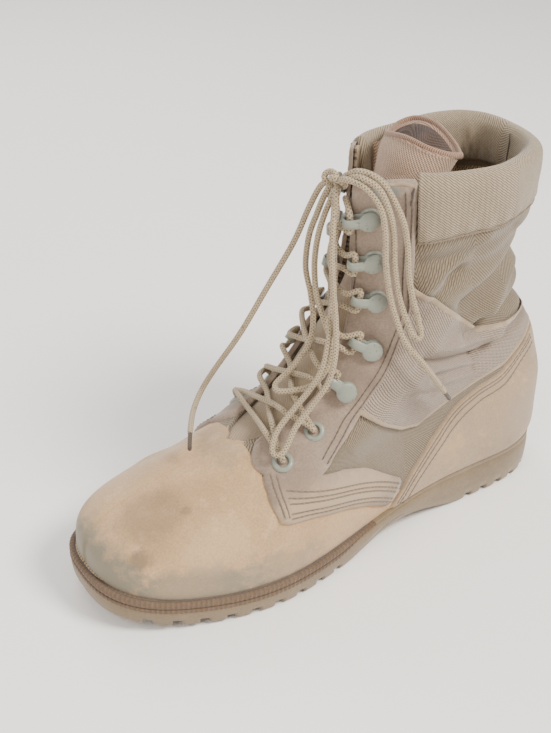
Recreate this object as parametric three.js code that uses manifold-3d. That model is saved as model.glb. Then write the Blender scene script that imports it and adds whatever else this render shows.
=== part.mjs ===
// Hot-weather combat boot, left foot, standing empty on its sole.
// Millimetres. +X runs to the toe, +Y to the outer side of the foot, +Z up.
// The drawing measures x from the back of the heel; the finished group is moved so that its origin
// is the middle of the heel's flat spot.
import * as THREE from 'three';
import { mergeVertices } from 'three/addons/utils/BufferGeometryUtils.js';
import Module from 'manifold-3d';

const wasm = await Module();
wasm.setup();

// ---------------------------------------------------------------- driving sizes
const LENGTH = 306; // outsole, back of heel to tip of toe
const BALL_WIDTH = 110; // outsole across the ball
const COLLAR_HEIGHT = 228; // floor to the back of the collar
const HEEL_HEIGHT = 27.6; // outsole under the heel
const FORE_HEIGHT = 17.4; // outsole and welt under the ball
const TOE_SPRING = 9.7; // rise of the toe's tip
const ARCH_RISE = 9; // hollow under the waist
const ARCH_X = 118; // middle of that hollow
const ARCH_REACH = 50; // from its middle to either end
const HEEL_FLAT_X = 38; // middle of the heel's flat spot, the part's origin

const WALL = 2.2; // suede or nylon with its lining
const GAP = 0.3; // between pieces that touch
const OVERLAY = 1.9; // thickness of a quarter, counter or strap
const AROUND = 34; // facets round one section
const LACE = 3.4; // diameter of the round lace

// ---------------------------------------------------------------- small tools
// Rows of numbers become objects with named columns.
function table(columns, rows) {
  const names = columns.split(' ');
  return rows.map((row) => Object.fromEntries(names.map((name, i) => [name, row[i]])));
}

const clamp = (x, low, high) => Math.min(Math.max(x, low), high);
const mix = (a, b, t) => a + (b - a) * t;
const smooth = (t) => clamp(t, 0, 1) ** 2 * (3 - 2 * clamp(t, 0, 1));
const degrees = (angle) => (angle * Math.PI) / 180;

// Cubic through y1 and y2 with end slopes m1 and m2 over a unit step.
function cubic(y1, y2, m1, m2, f) {
  const g = f * f;
  const h = g * f;
  return (2 * h - 3 * g + 1) * y1 + (h - 2 * g + f) * m1 + (3 * g - 2 * h) * y2 + (h - g) * m2;
}

// One column of a table at a fractional row, smooth between rows and straight beyond the ends.
function along(rows, name, t) {
  const last = rows.length - 1;
  const at = (i) => rows[clamp(i, 0, last)][name];
  if (t < 0) return at(0) + t * (at(1) - at(0));
  if (t > last) return at(last) + (t - last) * (at(last) - at(last - 1));
  const i = Math.min(Math.floor(t), last - 1);
  return cubic(at(i), at(i + 1), (at(i + 1) - at(i - 1)) / 2, (at(i + 2) - at(i)) / 2, t - i);
}

// A smooth curve through (xs, ys), level at both ends.
function through(xs, ys, x) {
  let i = 0;
  while (i < xs.length - 2 && x > xs[i + 1]) i += 1;
  const slope = (k) => (ys[k + 1] - ys[k]) / (xs[k + 1] - xs[k]);
  const tangent = (k) => {
    if (k === 0 || k === xs.length - 1) return 0;
    const before = xs[k] - xs[k - 1];
    const after = xs[k + 1] - xs[k];
    return (slope(k - 1) * after + slope(k) * before) / (before + after);
  };
  const step = xs[i + 1] - xs[i];
  return cubic(ys[i], ys[i + 1], step * tangent(i), step * tangent(i + 1), (x - xs[i]) / step);
}

// ---------------------------------------------------------------- the last
// The upper is a stack of rings, from the feather line to the collar. Each ring runs from a point on
// the heel's profile to a point on the ridge of toe, vamp and shaft. x is a share of LENGTH, z of
// COLLAR_HEIGHT, half widths of half the BALL_WIDTH, all in per cent. The widths stand 14, 42, 70
// and 88 per cent of the way forward, on the outer and on the inner side. back and front are the
// shares of the ring that round off at its ends, backPow and frontPow how square they are.
const RINGS = table(
  'backX backZ frontX frontZ oHeel oWaist oBall oToe iHeel iWaist iBall iToe'
  + ' back backPow front frontPow backY frontY',
  [
    [1.6, 12.3, 98.7, 11.0, 56.4, 69.1, 98.2, 89.1, 65.5, 52.7, 85.5, 81.8, 17, 2.4, 24, 2.5, 7.3, -7.3],
    [0.3, 18.4, 98.9, 15.8, 58.2, 69.1, 100.0, 90.9, 67.3, 54.5, 89.1, 83.6, 17, 2.4, 25, 2.5, 7.3, -7.3],
    [0.0, 24.1, 98.4, 20.8, 58.2, 67.3, 98.2, 90.0, 65.5, 56.4, 85.5, 81.8, 18, 2.3, 27, 2.4, 7.3, -7.3],
    [-0.3, 30.3, 94.9, 23.7, 54.5, 63.6, 90.9, 77.3, 61.8, 58.2, 73.6, 62.7, 19, 2.2, 30, 2.3, 7.3, -7.3],
    [0.7, 36.8, 89.9, 26.5, 50.9, 61.8, 85.5, 66.4, 56.4, 58.2, 64.5, 52.7, 20, 2.1, 36, 2.2, 5.5, -7.3],
    [2.6, 43.4, 83.0, 30.0, 49.1, 61.8, 80.0, 62.7, 52.7, 60.0, 60.9, 50.0, 21, 2.1, 42, 2.1, 5.5, -5.5],
    [5.4, 49.6, 74.8, 33.1, 47.3, 63.6, 74.5, 60.0, 50.9, 61.8, 56.4, 50.9, 22, 2.1, 45, 2.1, 5.5, -3.6],
    [8.7, 55.7, 67.0, 37.3, 49.1, 65.5, 70.9, 54.5, 50.9, 63.6, 56.4, 47.3, 23, 2.1, 45, 2.1, 3.6, 0.0],
    [11.1, 61.8, 60.1, 44.3, 50.9, 67.3, 69.1, 54.5, 52.7, 65.5, 60.0, 49.1, 24, 2.1, 42, 2.2, 3.6, 3.6],
    [12.4, 68.0, 54.9, 52.6, 54.5, 69.1, 65.5, 50.9, 56.4, 67.3, 61.8, 50.9, 26, 2.1, 38, 2.2, 3.6, 7.3],
    [11.3, 74.6, 51.3, 61.8, 58.2, 70.9, 61.8, 47.3, 60.0, 67.3, 61.8, 49.1, 28, 2.2, 35, 2.2, 3.6, 12.7],
    [10.3, 82.0, 49.7, 71.5, 61.8, 70.9, 58.2, 41.8, 61.8, 67.3, 61.8, 49.1, 30, 2.3, 35, 2.2, 3.6, 18.2],
    [11.4, 90.8, 50.0, 83.3, 65.5, 72.7, 56.4, 36.4, 63.6, 67.3, 63.6, 50.9, 30, 2.4, 35, 2.2, 3.6, 23.6],
    [12.4, 100.0, 51.3, 99.1, 69.1, 74.5, 56.4, 32.7, 65.5, 69.1, 65.5, 50.9, 30, 2.5, 35, 2.2, 5.5, 27.3],
  ],
);
const STATIONS = [0, 0.14, 0.42, 0.7, 0.88, 1];
const RIM = RINGS.length - 1; // row of the collar's rim
const COLLAR_SEAM = 11.95; // row of the seam under the padded collar
const FEATHER_FADE = 3; // rows over which the rings leave the sole's own curve

// Outline of the outsole, in the same columns.
const OUTSOLE = {
  backX: 0, backZ: 0, frontX: 100, frontZ: 0,
  oHeel: 60, oWaist: 73.6, oBall: 103.6, oToe: 93.6,
  iHeel: 70, iWaist: 57.3, iBall: 90.9, iToe: 86.4,
  back: 17, backPow: 2.45, front: 26, frontPow: 2.65, backY: 7.8, frontY: -6.9,
};

const rise = (x) => TOE_SPRING * clamp((x - 225) / (LENGTH - 225), 0, 1) ** 2;

// Top of the outsole and welt, where the upper and the insole rest.
function soleTop(x) {
  const heel = (HEEL_HEIGHT - FORE_HEIGHT) / (1 + Math.exp((x - 125) / 16));
  return FORE_HEIGHT + heel + rise(x);
}

// Underside of the outsole: flat at heel and ball, hollow at the waist, rounded up behind.
function soleBottom(x) {
  const s = clamp(Math.abs(x - ARCH_X) / ARCH_REACH, 0, 1);
  const heelRound = 7 * clamp((14 - x) / 14, 0, 1) ** 2;
  return rise(x) + ARCH_RISE * (1 - s * s) ** 2 + heelRound;
}

// A point of one ring: angle 0 is the back, 90 the outer side, 180 the front, 270 the inner side.
function ringPoint(ring, angle) {
  const u = (1 - Math.cos(angle)) / 2;
  const side = Math.sin(angle) >= 0 ? 'o' : 'i';
  const heel = ring[side + 'Heel'];
  const toe = ring[side + 'Toe'];
  const widths = [heel, heel, ring[side + 'Waist'], ring[side + 'Ball'], toe, toe];
  const a = clamp(1 - u / (ring.back / 100), 0, 1);
  const b = clamp(1 - (1 - u) / (ring.front / 100), 0, 1);
  const ends = (1 - a ** ring.backPow) ** (1 / ring.backPow)
    * (1 - b ** ring.frontPow) ** (1 / ring.frontPow);
  const half = through(STATIONS, widths, u) * ends * (side === 'o' ? 1 : -1);
  const x = (mix(ring.backX, ring.frontX, u) / 100) * LENGTH;
  const y = ((mix(ring.backY, ring.frontY, u) + half) / 100) * (BALL_WIDTH / 2);
  const z = (mix(ring.backZ, ring.frontZ, u) / 100) * COLLAR_HEIGHT;
  return new THREE.Vector3(x, y, z);
}

const ringNames = Object.keys(RINGS[0]);
function lastPoint(angle, row) {
  const ring = Object.fromEntries(ringNames.map((name) => [name, along(RINGS, name, row)]));
  const p = ringPoint(ring, angle);
  const fade = clamp(1 - row / FEATHER_FADE, 0, 1) ** 1.5;
  p.z = mix(p.z, soleTop(p.x), fade);
  return p;
}

// Outward direction of the last, from four neighbours.
function lastNormal(angle, row) {
  const step = 0.02;
  const over = lastPoint(angle + step, row).sub(lastPoint(angle - step, row));
  const up = lastPoint(angle, row + step).sub(lastPoint(angle, Math.max(row - step, 0)));
  return up.cross(over).normalize();
}

// A point of the last moved out by a distance.
function skin(angle, row, out) {
  return lastPoint(angle, row).addScaledVector(lastNormal(angle, row), out);
}

// The angle and row of the last's point at x and z, as seen from its outer (1) or inner (-1) side.
function sideView(x, z, side) {
  const angleAt = (row) => {
    const back = (along(RINGS, 'backX', row) / 100) * LENGTH;
    const front = (along(RINGS, 'frontX', row) / 100) * LENGTH;
    return side * Math.acos(clamp(1 - (2 * (x - back)) / (front - back), -1, 1));
  };
  let low = 0;
  let high = RIM;
  for (let i = 0; i < 40; i += 1) {
    const row = (low + high) / 2;
    if (lastPoint(angleAt(row), row).z < z) low = row;
    else high = row;
  }
  return { angle: angleAt(low), row: low };
}

// ---------------------------------------------------------------- solids
// Six times the volume of a closed mesh, negative where its faces point inwards.
function signedVolume({ array }, index) {
  const corner = (i) => new THREE.Vector3().fromArray(array, 3 * index[i]);
  let sum = 0;
  for (let i = 0; i < index.length; i += 3) {
    sum += corner(i).dot(corner(i + 1).cross(corner(i + 2)));
  }
  return sum;
}

function toManifold(geometry) {
  const bare = geometry.clone();
  bare.deleteAttribute('normal');
  bare.deleteAttribute('uv');
  const merged = mergeVertices(bare, 1e-4);
  const index = merged.index.array;
  if (signedVolume(merged.attributes.position, index) < 0) index.reverse();
  return new wasm.Manifold(new wasm.Mesh({
    numProp: 3,
    vertProperties: Float32Array.from(merged.attributes.position.array),
    triVerts: Uint32Array.from(index),
  }));
}

function toGeometry(manifold) {
  const mesh = manifold.getMesh();
  const geometry = new THREE.BufferGeometry();
  geometry.setAttribute('position', new THREE.BufferAttribute(mesh.vertProperties, 3));
  geometry.setIndex(new THREE.BufferAttribute(mesh.triVerts, 1));
  geometry.computeVertexNormals();
  return geometry;
}

// A closed surface from rows of points, each row a closed loop. The first and last rows are closed
// by strips from each point to its mirror, or joined to each other where wrapRows is set. From row
// turned on, the squares are split along their other diagonal.
function loopSurface(rows, wrapRows = false, turned = Infinity) {
  const n = rows[0].length;
  const m = rows.length;
  const positions = rows.flat().flatMap((p) => [p.x, p.y, p.z]);
  const index = [];
  const id = (j, i) => (j % m) * n + (i % n);
  for (let j = 0; j < (wrapRows ? m : m - 1); j += 1) {
    for (let i = 0; i < n; i += 1) {
      const [a, b, c, d] = [id(j, i), id(j + 1, i), id(j + 1, i + 1), id(j, i + 1)];
      index.push(...(j < turned ? [a, b, c, a, c, d] : [a, b, d, b, c, d]));
    }
  }
  const addCap = (j, flip) => {
    for (let i = 0; i < Math.ceil(n / 2); i += 1) {
      const [a, b, c, d] = [id(j, i), id(j, i + 1), id(j, n - 1 - i), id(j, n - i)];
      for (const t of [[a, b, c], [a, c, d]]) {
        if (new Set(t).size === 3) index.push(...(flip ? t.reverse() : t));
      }
    }
  };
  if (!wrapRows) {
    addCap(0, false);
    addCap(m - 1, true);
  }
  const geometry = new THREE.BufferGeometry();
  geometry.setAttribute('position', new THREE.Float32BufferAttribute(positions, 3));
  geometry.setIndex(index);
  return geometry;
}

const ringAngles = Array.from({ length: AROUND }, (_, i) => (i / AROUND) * 2 * Math.PI);
const steps = (from, to, count) => Array.from({ length: count + 1 }, (_, i) => mix(from, to, i / count));

// The wall between two offsets of the last, open at its first and last row.
function wallBetween(inner, outer, rows) {
  const ring = (row, out) => ringAngles.map((angle) => skin(angle, row, out));
  const outside = rows.map((row) => ring(row, outer));
  const inside = rows.map((row) => ring(row, inner)).reverse();
  return toManifold(loopSurface([...outside, ...inside], true, rows.length));
}

// A side-view outline of x, z pairs, as a prism from one y to another.
function sidePrism(outline, fromY, toY) {
  const shape = new THREE.Shape(outline.map(([x, z]) => new THREE.Vector2(x, z)));
  const geometry = new THREE.ExtrudeGeometry(shape, { depth: toY - fromY, bevelEnabled: false });
  geometry.rotateX(Math.PI / 2).translate(0, toY, 0);
  return toManifold(geometry);
}

// ---------------------------------------------------------------- upper
// Rows of the wall, closer where the toe box and the ankle bend most.
const SHELL_ROWS = [0, 0.6, 1.2, 2, 2.8, 3.6, 4.6, 5.8, 7, 8, 9, 10, 11, 11.95, 13];

// The throat, row by row up the ridge: half widths to the outer and the inner side of the middle.
const THROAT = table('row outer inner', [
  [6.55, 6, 6],
  [6.8, 13, 12],
  [7.2, 18, 16],
  [8, 20, 18],
  [9, 19.5, 18],
  [10, 18.5, 17],
  [11, 17, 16],
  [12, 16.5, 16],
  [13, 20, 19],
  [14, 22, 21],
]);
const THROAT_DEPTH = 24; // how far behind the ridge the throat's cut reaches
const THROAT_REACH = 14; // and how far in front

function throatCutter(clearance) {
  const ridge = (row) => {
    const p = lastPoint(Math.PI, row);
    return new THREE.Vector3(p.x, 0, p.z);
  };
  const sections = THROAT.map(({ row, outer, inner }) => {
    const tangent = ridge(row + 0.2).sub(ridge(row - 0.2)).normalize();
    const out = new THREE.Vector3(tangent.z, 0, -tangent.x);
    const corner = (y, depth) => ridge(row).addScaledVector(out, depth).setY(y);
    return [
      corner(outer + clearance, THROAT_REACH),
      corner(outer + clearance, -THROAT_DEPTH),
      corner(-inner - clearance, -THROAT_DEPTH),
      corner(-inner - clearance, THROAT_REACH),
    ];
  });
  return toManifold(loopSurface(sections));
}

// The padded collar runs round the back, between the rear edges of the two facings.
const COLLAR_OUTER_END = degrees(122);
const COLLAR_INNER_END = degrees(-118);
const COLLAR_PAD = 8.5;

function collarBand(profile, from, to, count) {
  return toManifold(loopSurface(
    steps(from, to, count).map((angle) => profile.map(({ row, out }) => skin(angle, row, out))),
  ));
}

const COLLAR_PROFILE = table('row out', [
  [COLLAR_SEAM, 0],
  [12.3, 2],
  [12.75, 2.5],
  [13.05, 0],
  [13.15, -3.5],
  [13.0, -7],
  [12.7, -COLLAR_PAD],
  [12.0, -COLLAR_PAD],
]);
const collar = collarBand(COLLAR_PROFILE, COLLAR_INNER_END, COLLAR_OUTER_END, 24);

// The room that the collar takes out of the wall behind it.
const COLLAR_ROOM = table('row out', [
  [COLLAR_SEAM - 0.02, 6],
  [14, 6],
  [14, -6],
  [COLLAR_SEAM - 0.02, -6],
]);
const endClearance = degrees(0.8);
const collarRoom = collarBand(
  COLLAR_ROOM, COLLAR_INNER_END - endClearance, COLLAR_OUTER_END + endClearance, 24,
);

// ---------------------------------------------------------------- overlays
// Side-view outlines, x and z on the last's own surface, clockwise from the top of the rear edge.
const QUARTER_REAR = [
  [130, 232], [127, 193], [125.5, 165], [126, 150], [133, 130], [141, 115], [152, 100],
  [166, 85], [178, 75.5], [184, 71.5],
];
const QUARTER_TAB = [
  [168, 69.5], [145, 58], [122.5, 41], [131, 26.5], [150, 36], [168, 43], [190, 49.5], [208, 52.5],
  [212.5, 54.5], [213.5, 65], [212, 72], [211, 78], [204, 90], [200, 110], [240, 110], [240, 240],
];
const QUARTER_OUTLINE = [...QUARTER_REAR, ...QUARTER_TAB];
const INNER_SET_BACK = 9; // the throat sits turned, so the inner quarter's shaft part is further back

// The inner quarter's outline: the shaft part moved back, the tab as on the outer side.
function innerQuarterOutline() {
  return QUARTER_OUTLINE.map(([x, z]) => [x - INNER_SET_BACK * smooth((z - 80) / 70), z]);
}

const COUNTER_OUTLINE = [
  [-20, 20], [129, 20], [127, 26], [117, 41], [100, 60.5], [83, 73.5], [65, 79], [46, 82.5],
  [33, 91.5], [20, 99], [5, 103], [-20, 103],
];
const STRAP_OUTLINE = [
  [-20, 106], [-20, 117], [15, 117], [32, 118], [49, 119], [74, 123.5], [103, 147], [116, 158],
  [123.5, 162.5], [124, 149], [131.5, 129.5], [139.5, 114], [150.5, 99], [153.5, 96],
  [139, 86], [124.5, 76.5], [112, 73.5], [90, 80], [67, 86.5], [45, 90.5], [33, 97.5], [19, 104.5],
  [5, 106],
];

const OVERLAY_ROWS = SHELL_ROWS.map((row, i) => (i === 0 ? 0.48 : row));
const overlaySkin = wallBetween(GAP, GAP + OVERLAY, OVERLAY_ROWS);
const throat = throatCutter(0);

const quarterOuter = overlaySkin
  .intersect(sidePrism(QUARTER_OUTLINE, 0, 90))
  .subtract(throatCutter(-0.6))
  .subtract(collarRoom);
const quarterInner = overlaySkin
  .intersect(sidePrism(innerQuarterOutline(), -90, 0))
  .subtract(throatCutter(-0.6))
  .subtract(collarRoom);
const counter = overlaySkin.intersect(sidePrism(COUNTER_OUTLINE, -90, 90));
const innerStrapOutline = STRAP_OUTLINE.map(([x, z]) => (
  [x - (x > 115 ? INNER_SET_BACK * smooth((z - 80) / 70) : 0), z]));
const strap = overlaySkin
  .intersect(sidePrism(STRAP_OUTLINE, 0, 90))
  .add(overlaySkin.intersect(sidePrism(innerStrapOutline, -90, 0)));

// ---------------------------------------------------------------- lace hardware
// Two eyelets and five hooks on each side, x on either side and z, from the vamp to the collar.
const LACE_STATIONS = table('name outerX outerZ innerX innerZ', [
  ['eyelet_1', 200, 77, 191, 79],
  ['eyelet_2', 178.6, 88, 171, 91],
  ['hook_1', 159.6, 108.8, 153, 110],
  ['hook_2', 145.3, 131.5, 137, 132],
  ['hook_3', 143, 159.2, 131, 159],
  ['hook_4', 146, 182.8, 131, 182],
  ['hook_5', 150, 207, 134, 206],
]);
const EYELET_HOLE = 3.1; // radius
const EYELET_FLANGE = 6;
const RIVET = 5.4; // radius of a hook's rivet head
const HOOK_WIDTH = 5;

// A frame on the quarter's surface: z out of it, x towards the throat, y up along it. It stands on
// the highest point of the surface within a rivet's radius.
const SEAT_LIFT = 0.4;

function seat(side, x, z) {
  const { angle, row } = sideView(x, z, side);
  const out = lastNormal(angle, row);
  const up = lastPoint(angle, row + 0.1).sub(lastPoint(angle, row - 0.1)).normalize();
  const forward = out.clone().cross(up).multiplyScalar(side).normalize();
  const origin = skin(angle, row, GAP + OVERLAY + GAP + SEAT_LIFT);
  const heights = [[0.12, 0], [-0.12, 0], [0, 0.35], [0, -0.35], [0.1, 0.3], [-0.1, 0.3], [0.1, -0.3],
    [-0.1, -0.3]].map(([turn, climb]) => (
    skin(angle + turn, row + climb, GAP + OVERLAY + GAP + SEAT_LIFT).sub(origin).dot(out)));
  origin.addScaledVector(out, Math.max(0, ...heights));
  return new THREE.Matrix4().makeBasis(forward, up, out).setPosition(origin);
}

function seated(manifold, matrix) {
  return toManifold(toGeometry(manifold).applyMatrix4(matrix));
}

const SIDES = [
  { side: 1, word: 'outer' },
  { side: -1, word: 'inner' },
];
const stationSeat = (station, { side, word }) => seat(side, station[word + 'X'], station[word + 'Z']);

// A washer pressed into the quarter.
const EYELET_RIM = [[EYELET_HOLE, 0], [EYELET_FLANGE, 0], [EYELET_FLANGE - 0.6, 0.8], [EYELET_HOLE + 0.4, 1.2], [EYELET_HOLE, 0.8]];
const eyeletShape = toManifold(
  new THREE.LatheGeometry(
    [...EYELET_RIM, EYELET_RIM[0]].map(([r, z]) => new THREE.Vector2(r, z)), 12,
  ).rotateX(Math.PI / 2),
);

// A hook: a round rivet head and an arm that runs over the throat's edge and curls back.
const HOOK_ARM = [
  [-3, 0.2], [8.6, 0.2], [11.4, 1.4], [12.4, 3.6], [11.4, 6.2], [8.8, 7.2], [4.2, 7.2], [4.2, 5.9],
  [8.4, 5.9], [10.2, 5.1], [10.9, 3.6], [10.2, 2.2], [8.4, 1.5], [-3, 1.5],
];
const armShape = new THREE.Shape(HOOK_ARM.map(([x, z]) => new THREE.Vector2(x, z)));
const hookShape = toManifold(
  new THREE.ExtrudeGeometry(armShape, { depth: HOOK_WIDTH, bevelEnabled: false })
    .rotateX(Math.PI / 2).translate(0, HOOK_WIDTH / 2, 0),
).add(toManifold(new THREE.CylinderGeometry(RIVET - 0.9, RIVET, 1.9, 12)
  .rotateX(Math.PI / 2).translate(-1.5, 0, 0.95)));

const isHook = ({ name }) => name.startsWith('hook');
const hardware = LACE_STATIONS.flatMap((station) => SIDES.map((side) => ({
  name: station.name.replace('_', `_${side.word}_`),
  solid: seated(isHook(station) ? hookShape : eyeletShape, stationSeat(station, side)),
})));

// Holes through quarter and wall under the eyelets.
const holePunch = toManifold(
  new THREE.CylinderGeometry(EYELET_HOLE, EYELET_HOLE, 16, 12).rotateX(Math.PI / 2),
);
const holes = wasm.Manifold.union(LACE_STATIONS.filter((station) => !isHook(station)).flatMap(
  (station) => SIDES.map((side) => seated(holePunch, stationSeat(station, side))),
));

const upper = wallBetween(-WALL, 0, SHELL_ROWS).subtract(throat).subtract(collarRoom).subtract(holes);

// ---------------------------------------------------------------- sole
// A point of the outsole's outline, moved inwards.
function outline(angle, inset, z) {
  const p = ringPoint(OUTSOLE, angle);
  const way = ringPoint(OUTSOLE, angle + 0.02).sub(ringPoint(OUTSOLE, angle - 0.02)).setZ(0).normalize();
  p.x += way.y * inset;
  p.y -= way.x * inset;
  return p.setZ(z(p.x));
}

const soleAngles = Array.from({ length: 52 }, (_, i) => (i / 52) * 2 * Math.PI);
const SOLE_RINGS = [
  { inset: 3, z: soleBottom },
  { inset: 0.8, z: (x) => soleBottom(x) + 2.5 },
  { inset: 0, z: (x) => mix(soleBottom(x), soleTop(x), 0.35) },
  { inset: 0.5, z: (x) => soleTop(x) - 1.4 },
  { inset: 1.6, z: (x) => soleTop(x) - GAP },
];
const soleBlock = toManifold(loopSurface(
  SOLE_RINGS.map(({ inset, z }) => soleAngles.map((angle) => outline(angle, inset, z))),
));

// Slots between the lugs, cut in from either edge.
const LUG_SLOT = { wide: 5, deep: 3.6, long: 20 };
const LUG_ROWS = table('from to pitch', [
  [14, 64, 12.5],
  [172, 286, 14.25],
]);
const lugSlots = LUG_ROWS.flatMap(({ from, to, pitch }) => {
  const count = Math.round((to - from) / pitch);
  return steps(from, to, count).flatMap((x) => SIDES.map(({ side }) => {
    const angle = Math.acos(1 - (2 * x) / LENGTH) * side;
    const edge = outline(angle, 0, soleBottom);
    const box = new THREE.BoxGeometry(LUG_SLOT.wide, LUG_SLOT.long, 2 * LUG_SLOT.deep);
    return toManifold(box.translate(x, edge.y - side * (LUG_SLOT.long / 2 - 4), edge.z));
  }));
});

// The welt lies round the forefoot on a step in the outsole and runs out to nothing at the waist.
const WELT_WIDE = 13;
const WELT_DEEP = 6.8;
const weltAngles = steps(degrees(88), degrees(272), 36);
const weltDepth = (x) => 1.6 + (WELT_DEEP - 1.6) * smooth((x - 148) / 26);

function weltBand(angles, edge, clear, above) {
  return toManifold(loopSurface(angles.map((angle) => [
    outline(angle, edge, (x) => soleTop(x) - weltDepth(x) - clear),
    outline(angle, edge, (x) => soleTop(x) - GAP + above),
    outline(angle, WELT_WIDE + clear, (x) => soleTop(x) - GAP + above),
    outline(angle, WELT_WIDE + clear, (x) => soleTop(x) - weltDepth(x) - clear),
  ])));
}
const welt = weltBand(weltAngles, 0.5, 0, 0);
const roomAngles = [weltAngles[0] - 0.03, ...weltAngles, weltAngles[36] + 0.03];
const weltRoom = weltBand(roomAngles, -4, 2 * GAP, 4);
const outsole = soleBlock.subtract(wasm.Manifold.union(lugSlots)).subtract(weltRoom);

const INSOLE_THICK = 3.4;
const insoleRing = (lift, out) => ringAngles.map((angle) => {
  const p = skin(angle, 0.12, out);
  return p.setZ(soleTop(p.x) + lift);
});
const insole = toManifold(loopSurface([
  insoleRing(0.4, -WALL - 1.4),
  insoleRing(0.4 + INSOLE_THICK, -WALL - 0.9),
]));

// ---------------------------------------------------------------- tongue
// The tongue starts under the throat's foot as a flat pad inside the wall, and its top folds into a
// leaf-shaped pocket inside the shaft. near and far are the two edges of the leaf, x and y.
const LEAF = table('nearX nearY farX farY', [
  [111, -13, 111, -13],
  [118, -7, 103, -16],
  [121, 4, 96, -12],
  [121, 14, 93.5, -1],
  [118, 25, 93.5, 11],
  [109, 32.5, 96, 24],
  [100, 33, 100, 33],
]);
const TONGUE_TOP = 235;
const TONGUE_PAD = 3; // thickness of its flat part
const TONGUE_CLEAR = 0.6;
// Rows of the flat part: row of the last, half the angle it spans, share of the leaf in it.
const TONGUE_ROWS = table('row spread leaf', [
  [6.1, 26, 0], [6.7, 36, 0], [7.4, 46, 0], [8.2, 50, 0], [9, 51, 0], [9.8, 52, 0.04],
  [10.6, 52, 0.14], [11.4, 50, 0.36], [12.2, 46, 0.7], [12.8, 42, 0.93], [13.1, 40, 1],
]);

function leafPoint(i, n, inset) {
  const t = (i <= n / 2 ? i : n - i) / (n / 2) * (LEAF.length - 1);
  const side = i <= n / 2 ? 'near' : 'far';
  const other = i <= n / 2 ? 'far' : 'near';
  const at = (name) => along(LEAF, name, t);
  const p = new THREE.Vector2(at(side + 'X'), at(side + 'Y'));
  const q = new THREE.Vector2(at(other + 'X'), at(other + 'Y'));
  const middle = p.clone().add(q).multiplyScalar(0.5);
  const across = Math.max(p.distanceTo(middle), 0.01);
  const centre = new THREE.Vector2(106, 10);
  const inside = middle.clone().lerp(centre, inset * 0.055);
  return inside.lerp(p.clone().lerp(middle, clamp(inset / across, 0, 0.9)), inset ? 0.9 : 1);
}

const TONGUE_POINTS = 24;
function tongueSection({ row, spread, leaf }) {
  return Array.from({ length: TONGUE_POINTS }, (_, i) => {
    const half = TONGUE_POINTS / 2;
    const t = i <= half ? i / half : (TONGUE_POINTS - i) / half;
    const tip = t === 0 || t === 1;
    const angle = Math.PI + degrees(spread) * (1 - 2 * t);
    const deep = tip ? TONGUE_PAD / 2 : (i < half ? 0 : TONGUE_PAD);
    const flat = skin(angle, row, -WALL - TONGUE_CLEAR - deep);
    const top = leafPoint(i, TONGUE_POINTS, 0);
    const z = mix(flat.z, TONGUE_TOP - 3 * Math.cos(2 * Math.PI * t), leaf ** 3);
    return flat.lerp(new THREE.Vector3(top.x, top.y, z), leaf).setZ(z);
  });
}
const pocketRing = (z, inset) => Array.from({ length: TONGUE_POINTS }, (_, i) => {
  const p = leafPoint(i, TONGUE_POINTS, inset);
  return new THREE.Vector3(p.x + (TONGUE_TOP - z) * 0.3, p.y, z);
});
const pocket = toManifold(loopSurface([
  pocketRing(TONGUE_TOP - 24, 5), pocketRing(TONGUE_TOP - 10, 3.2), pocketRing(TONGUE_TOP + 6, 2.6),
]));
const tongue = toManifold(loopSurface(TONGUE_ROWS.map(tongueSection))).subtract(pocket);

// ---------------------------------------------------------------- lace
const laceRing = new THREE.Shape(Array.from({ length: 8 }, (_, i) => (
  new THREE.Vector2(Math.cos((i * Math.PI) / 4), Math.sin((i * Math.PI) / 4)).multiplyScalar(LACE / 2))));

function laceTube(points, count) {
  const path = new THREE.CatmullRomCurve3(points, false, 'centripetal');
  return toManifold(new THREE.ExtrudeGeometry(laceRing, {
    steps: count, extrudePath: path, bevelEnabled: false,
  }));
}

const inSeat = (station, side, x, y, z) => (
  new THREE.Vector3(x, y, z).applyMatrix4(stationSeat(station, side)));

// Where the lace leaves a station upwards, and where it reaches one from below.
const OUT_OF_EYELET = [[0, 0, -0.6], [0, 0, 2.1], [1.1, 0.3, 4.2], [4.8, 1, 5]];
const OUT_OF_HOOK = [[8.2, 0, 3.7], [8.5, 5.8, 3.7]];

function leave(station, side) {
  const points = isHook(station) ? OUT_OF_HOOK : OUT_OF_EYELET;
  return points.map(([x, y, z]) => inSeat(station, side, x, y, z));
}
function reach(station, side) {
  const points = isHook(station) ? OUT_OF_HOOK : OUT_OF_EYELET;
  return points.map(([x, y, z]) => inSeat(station, side, x, -y, z)).reverse();
}

// Height of the lace over the last: high over the facings, low over the tongue between them.
const OVER_FACING = 6.8;
const HALF_THROAT = 15.5;
const laceHeight = (y, low) => mix(low, OVER_FACING, smooth((Math.abs(y) - HALF_THROAT + 9) / 6));

// The straight way over the tongue from a station of one side to a station of the other, as points
// over the last in the plane of that way and of the ridge's outward direction.
function overTongue(a, fromSide, b, toSide, low) {
  const start = sideView(a[fromSide.word + 'X'], a[fromSide.word + 'Z'], fromSide.side);
  const end = sideView(b[toSide.word + 'X'], b[toSide.word + 'Z'], toSide.side);
  const turn = (angle) => (angle < 0 ? angle + 2 * Math.PI : angle);
  const from = lastPoint(start.angle, start.row);
  const way = lastPoint(end.angle, end.row).sub(from);
  const plane = lastNormal(Math.PI, (start.row + end.row) / 2 + 1).cross(way).normalize();
  const sign = Math.sign(plane.z);
  return [0.34, 0.5, 0.66].map((t) => {
    const angle = mix(turn(start.angle), turn(end.angle), t);
    let under = 3;
    let above = RIM + 0.5;
    for (let i = 0; i < 30; i += 1) {
      const row = (under + above) / 2;
      if (lastPoint(angle, row).sub(from).dot(plane) * sign < 0) under = row;
      else above = row;
    }
    return skin(angle, under, laceHeight(lastPoint(angle, under).y, low));
  });
}

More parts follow.
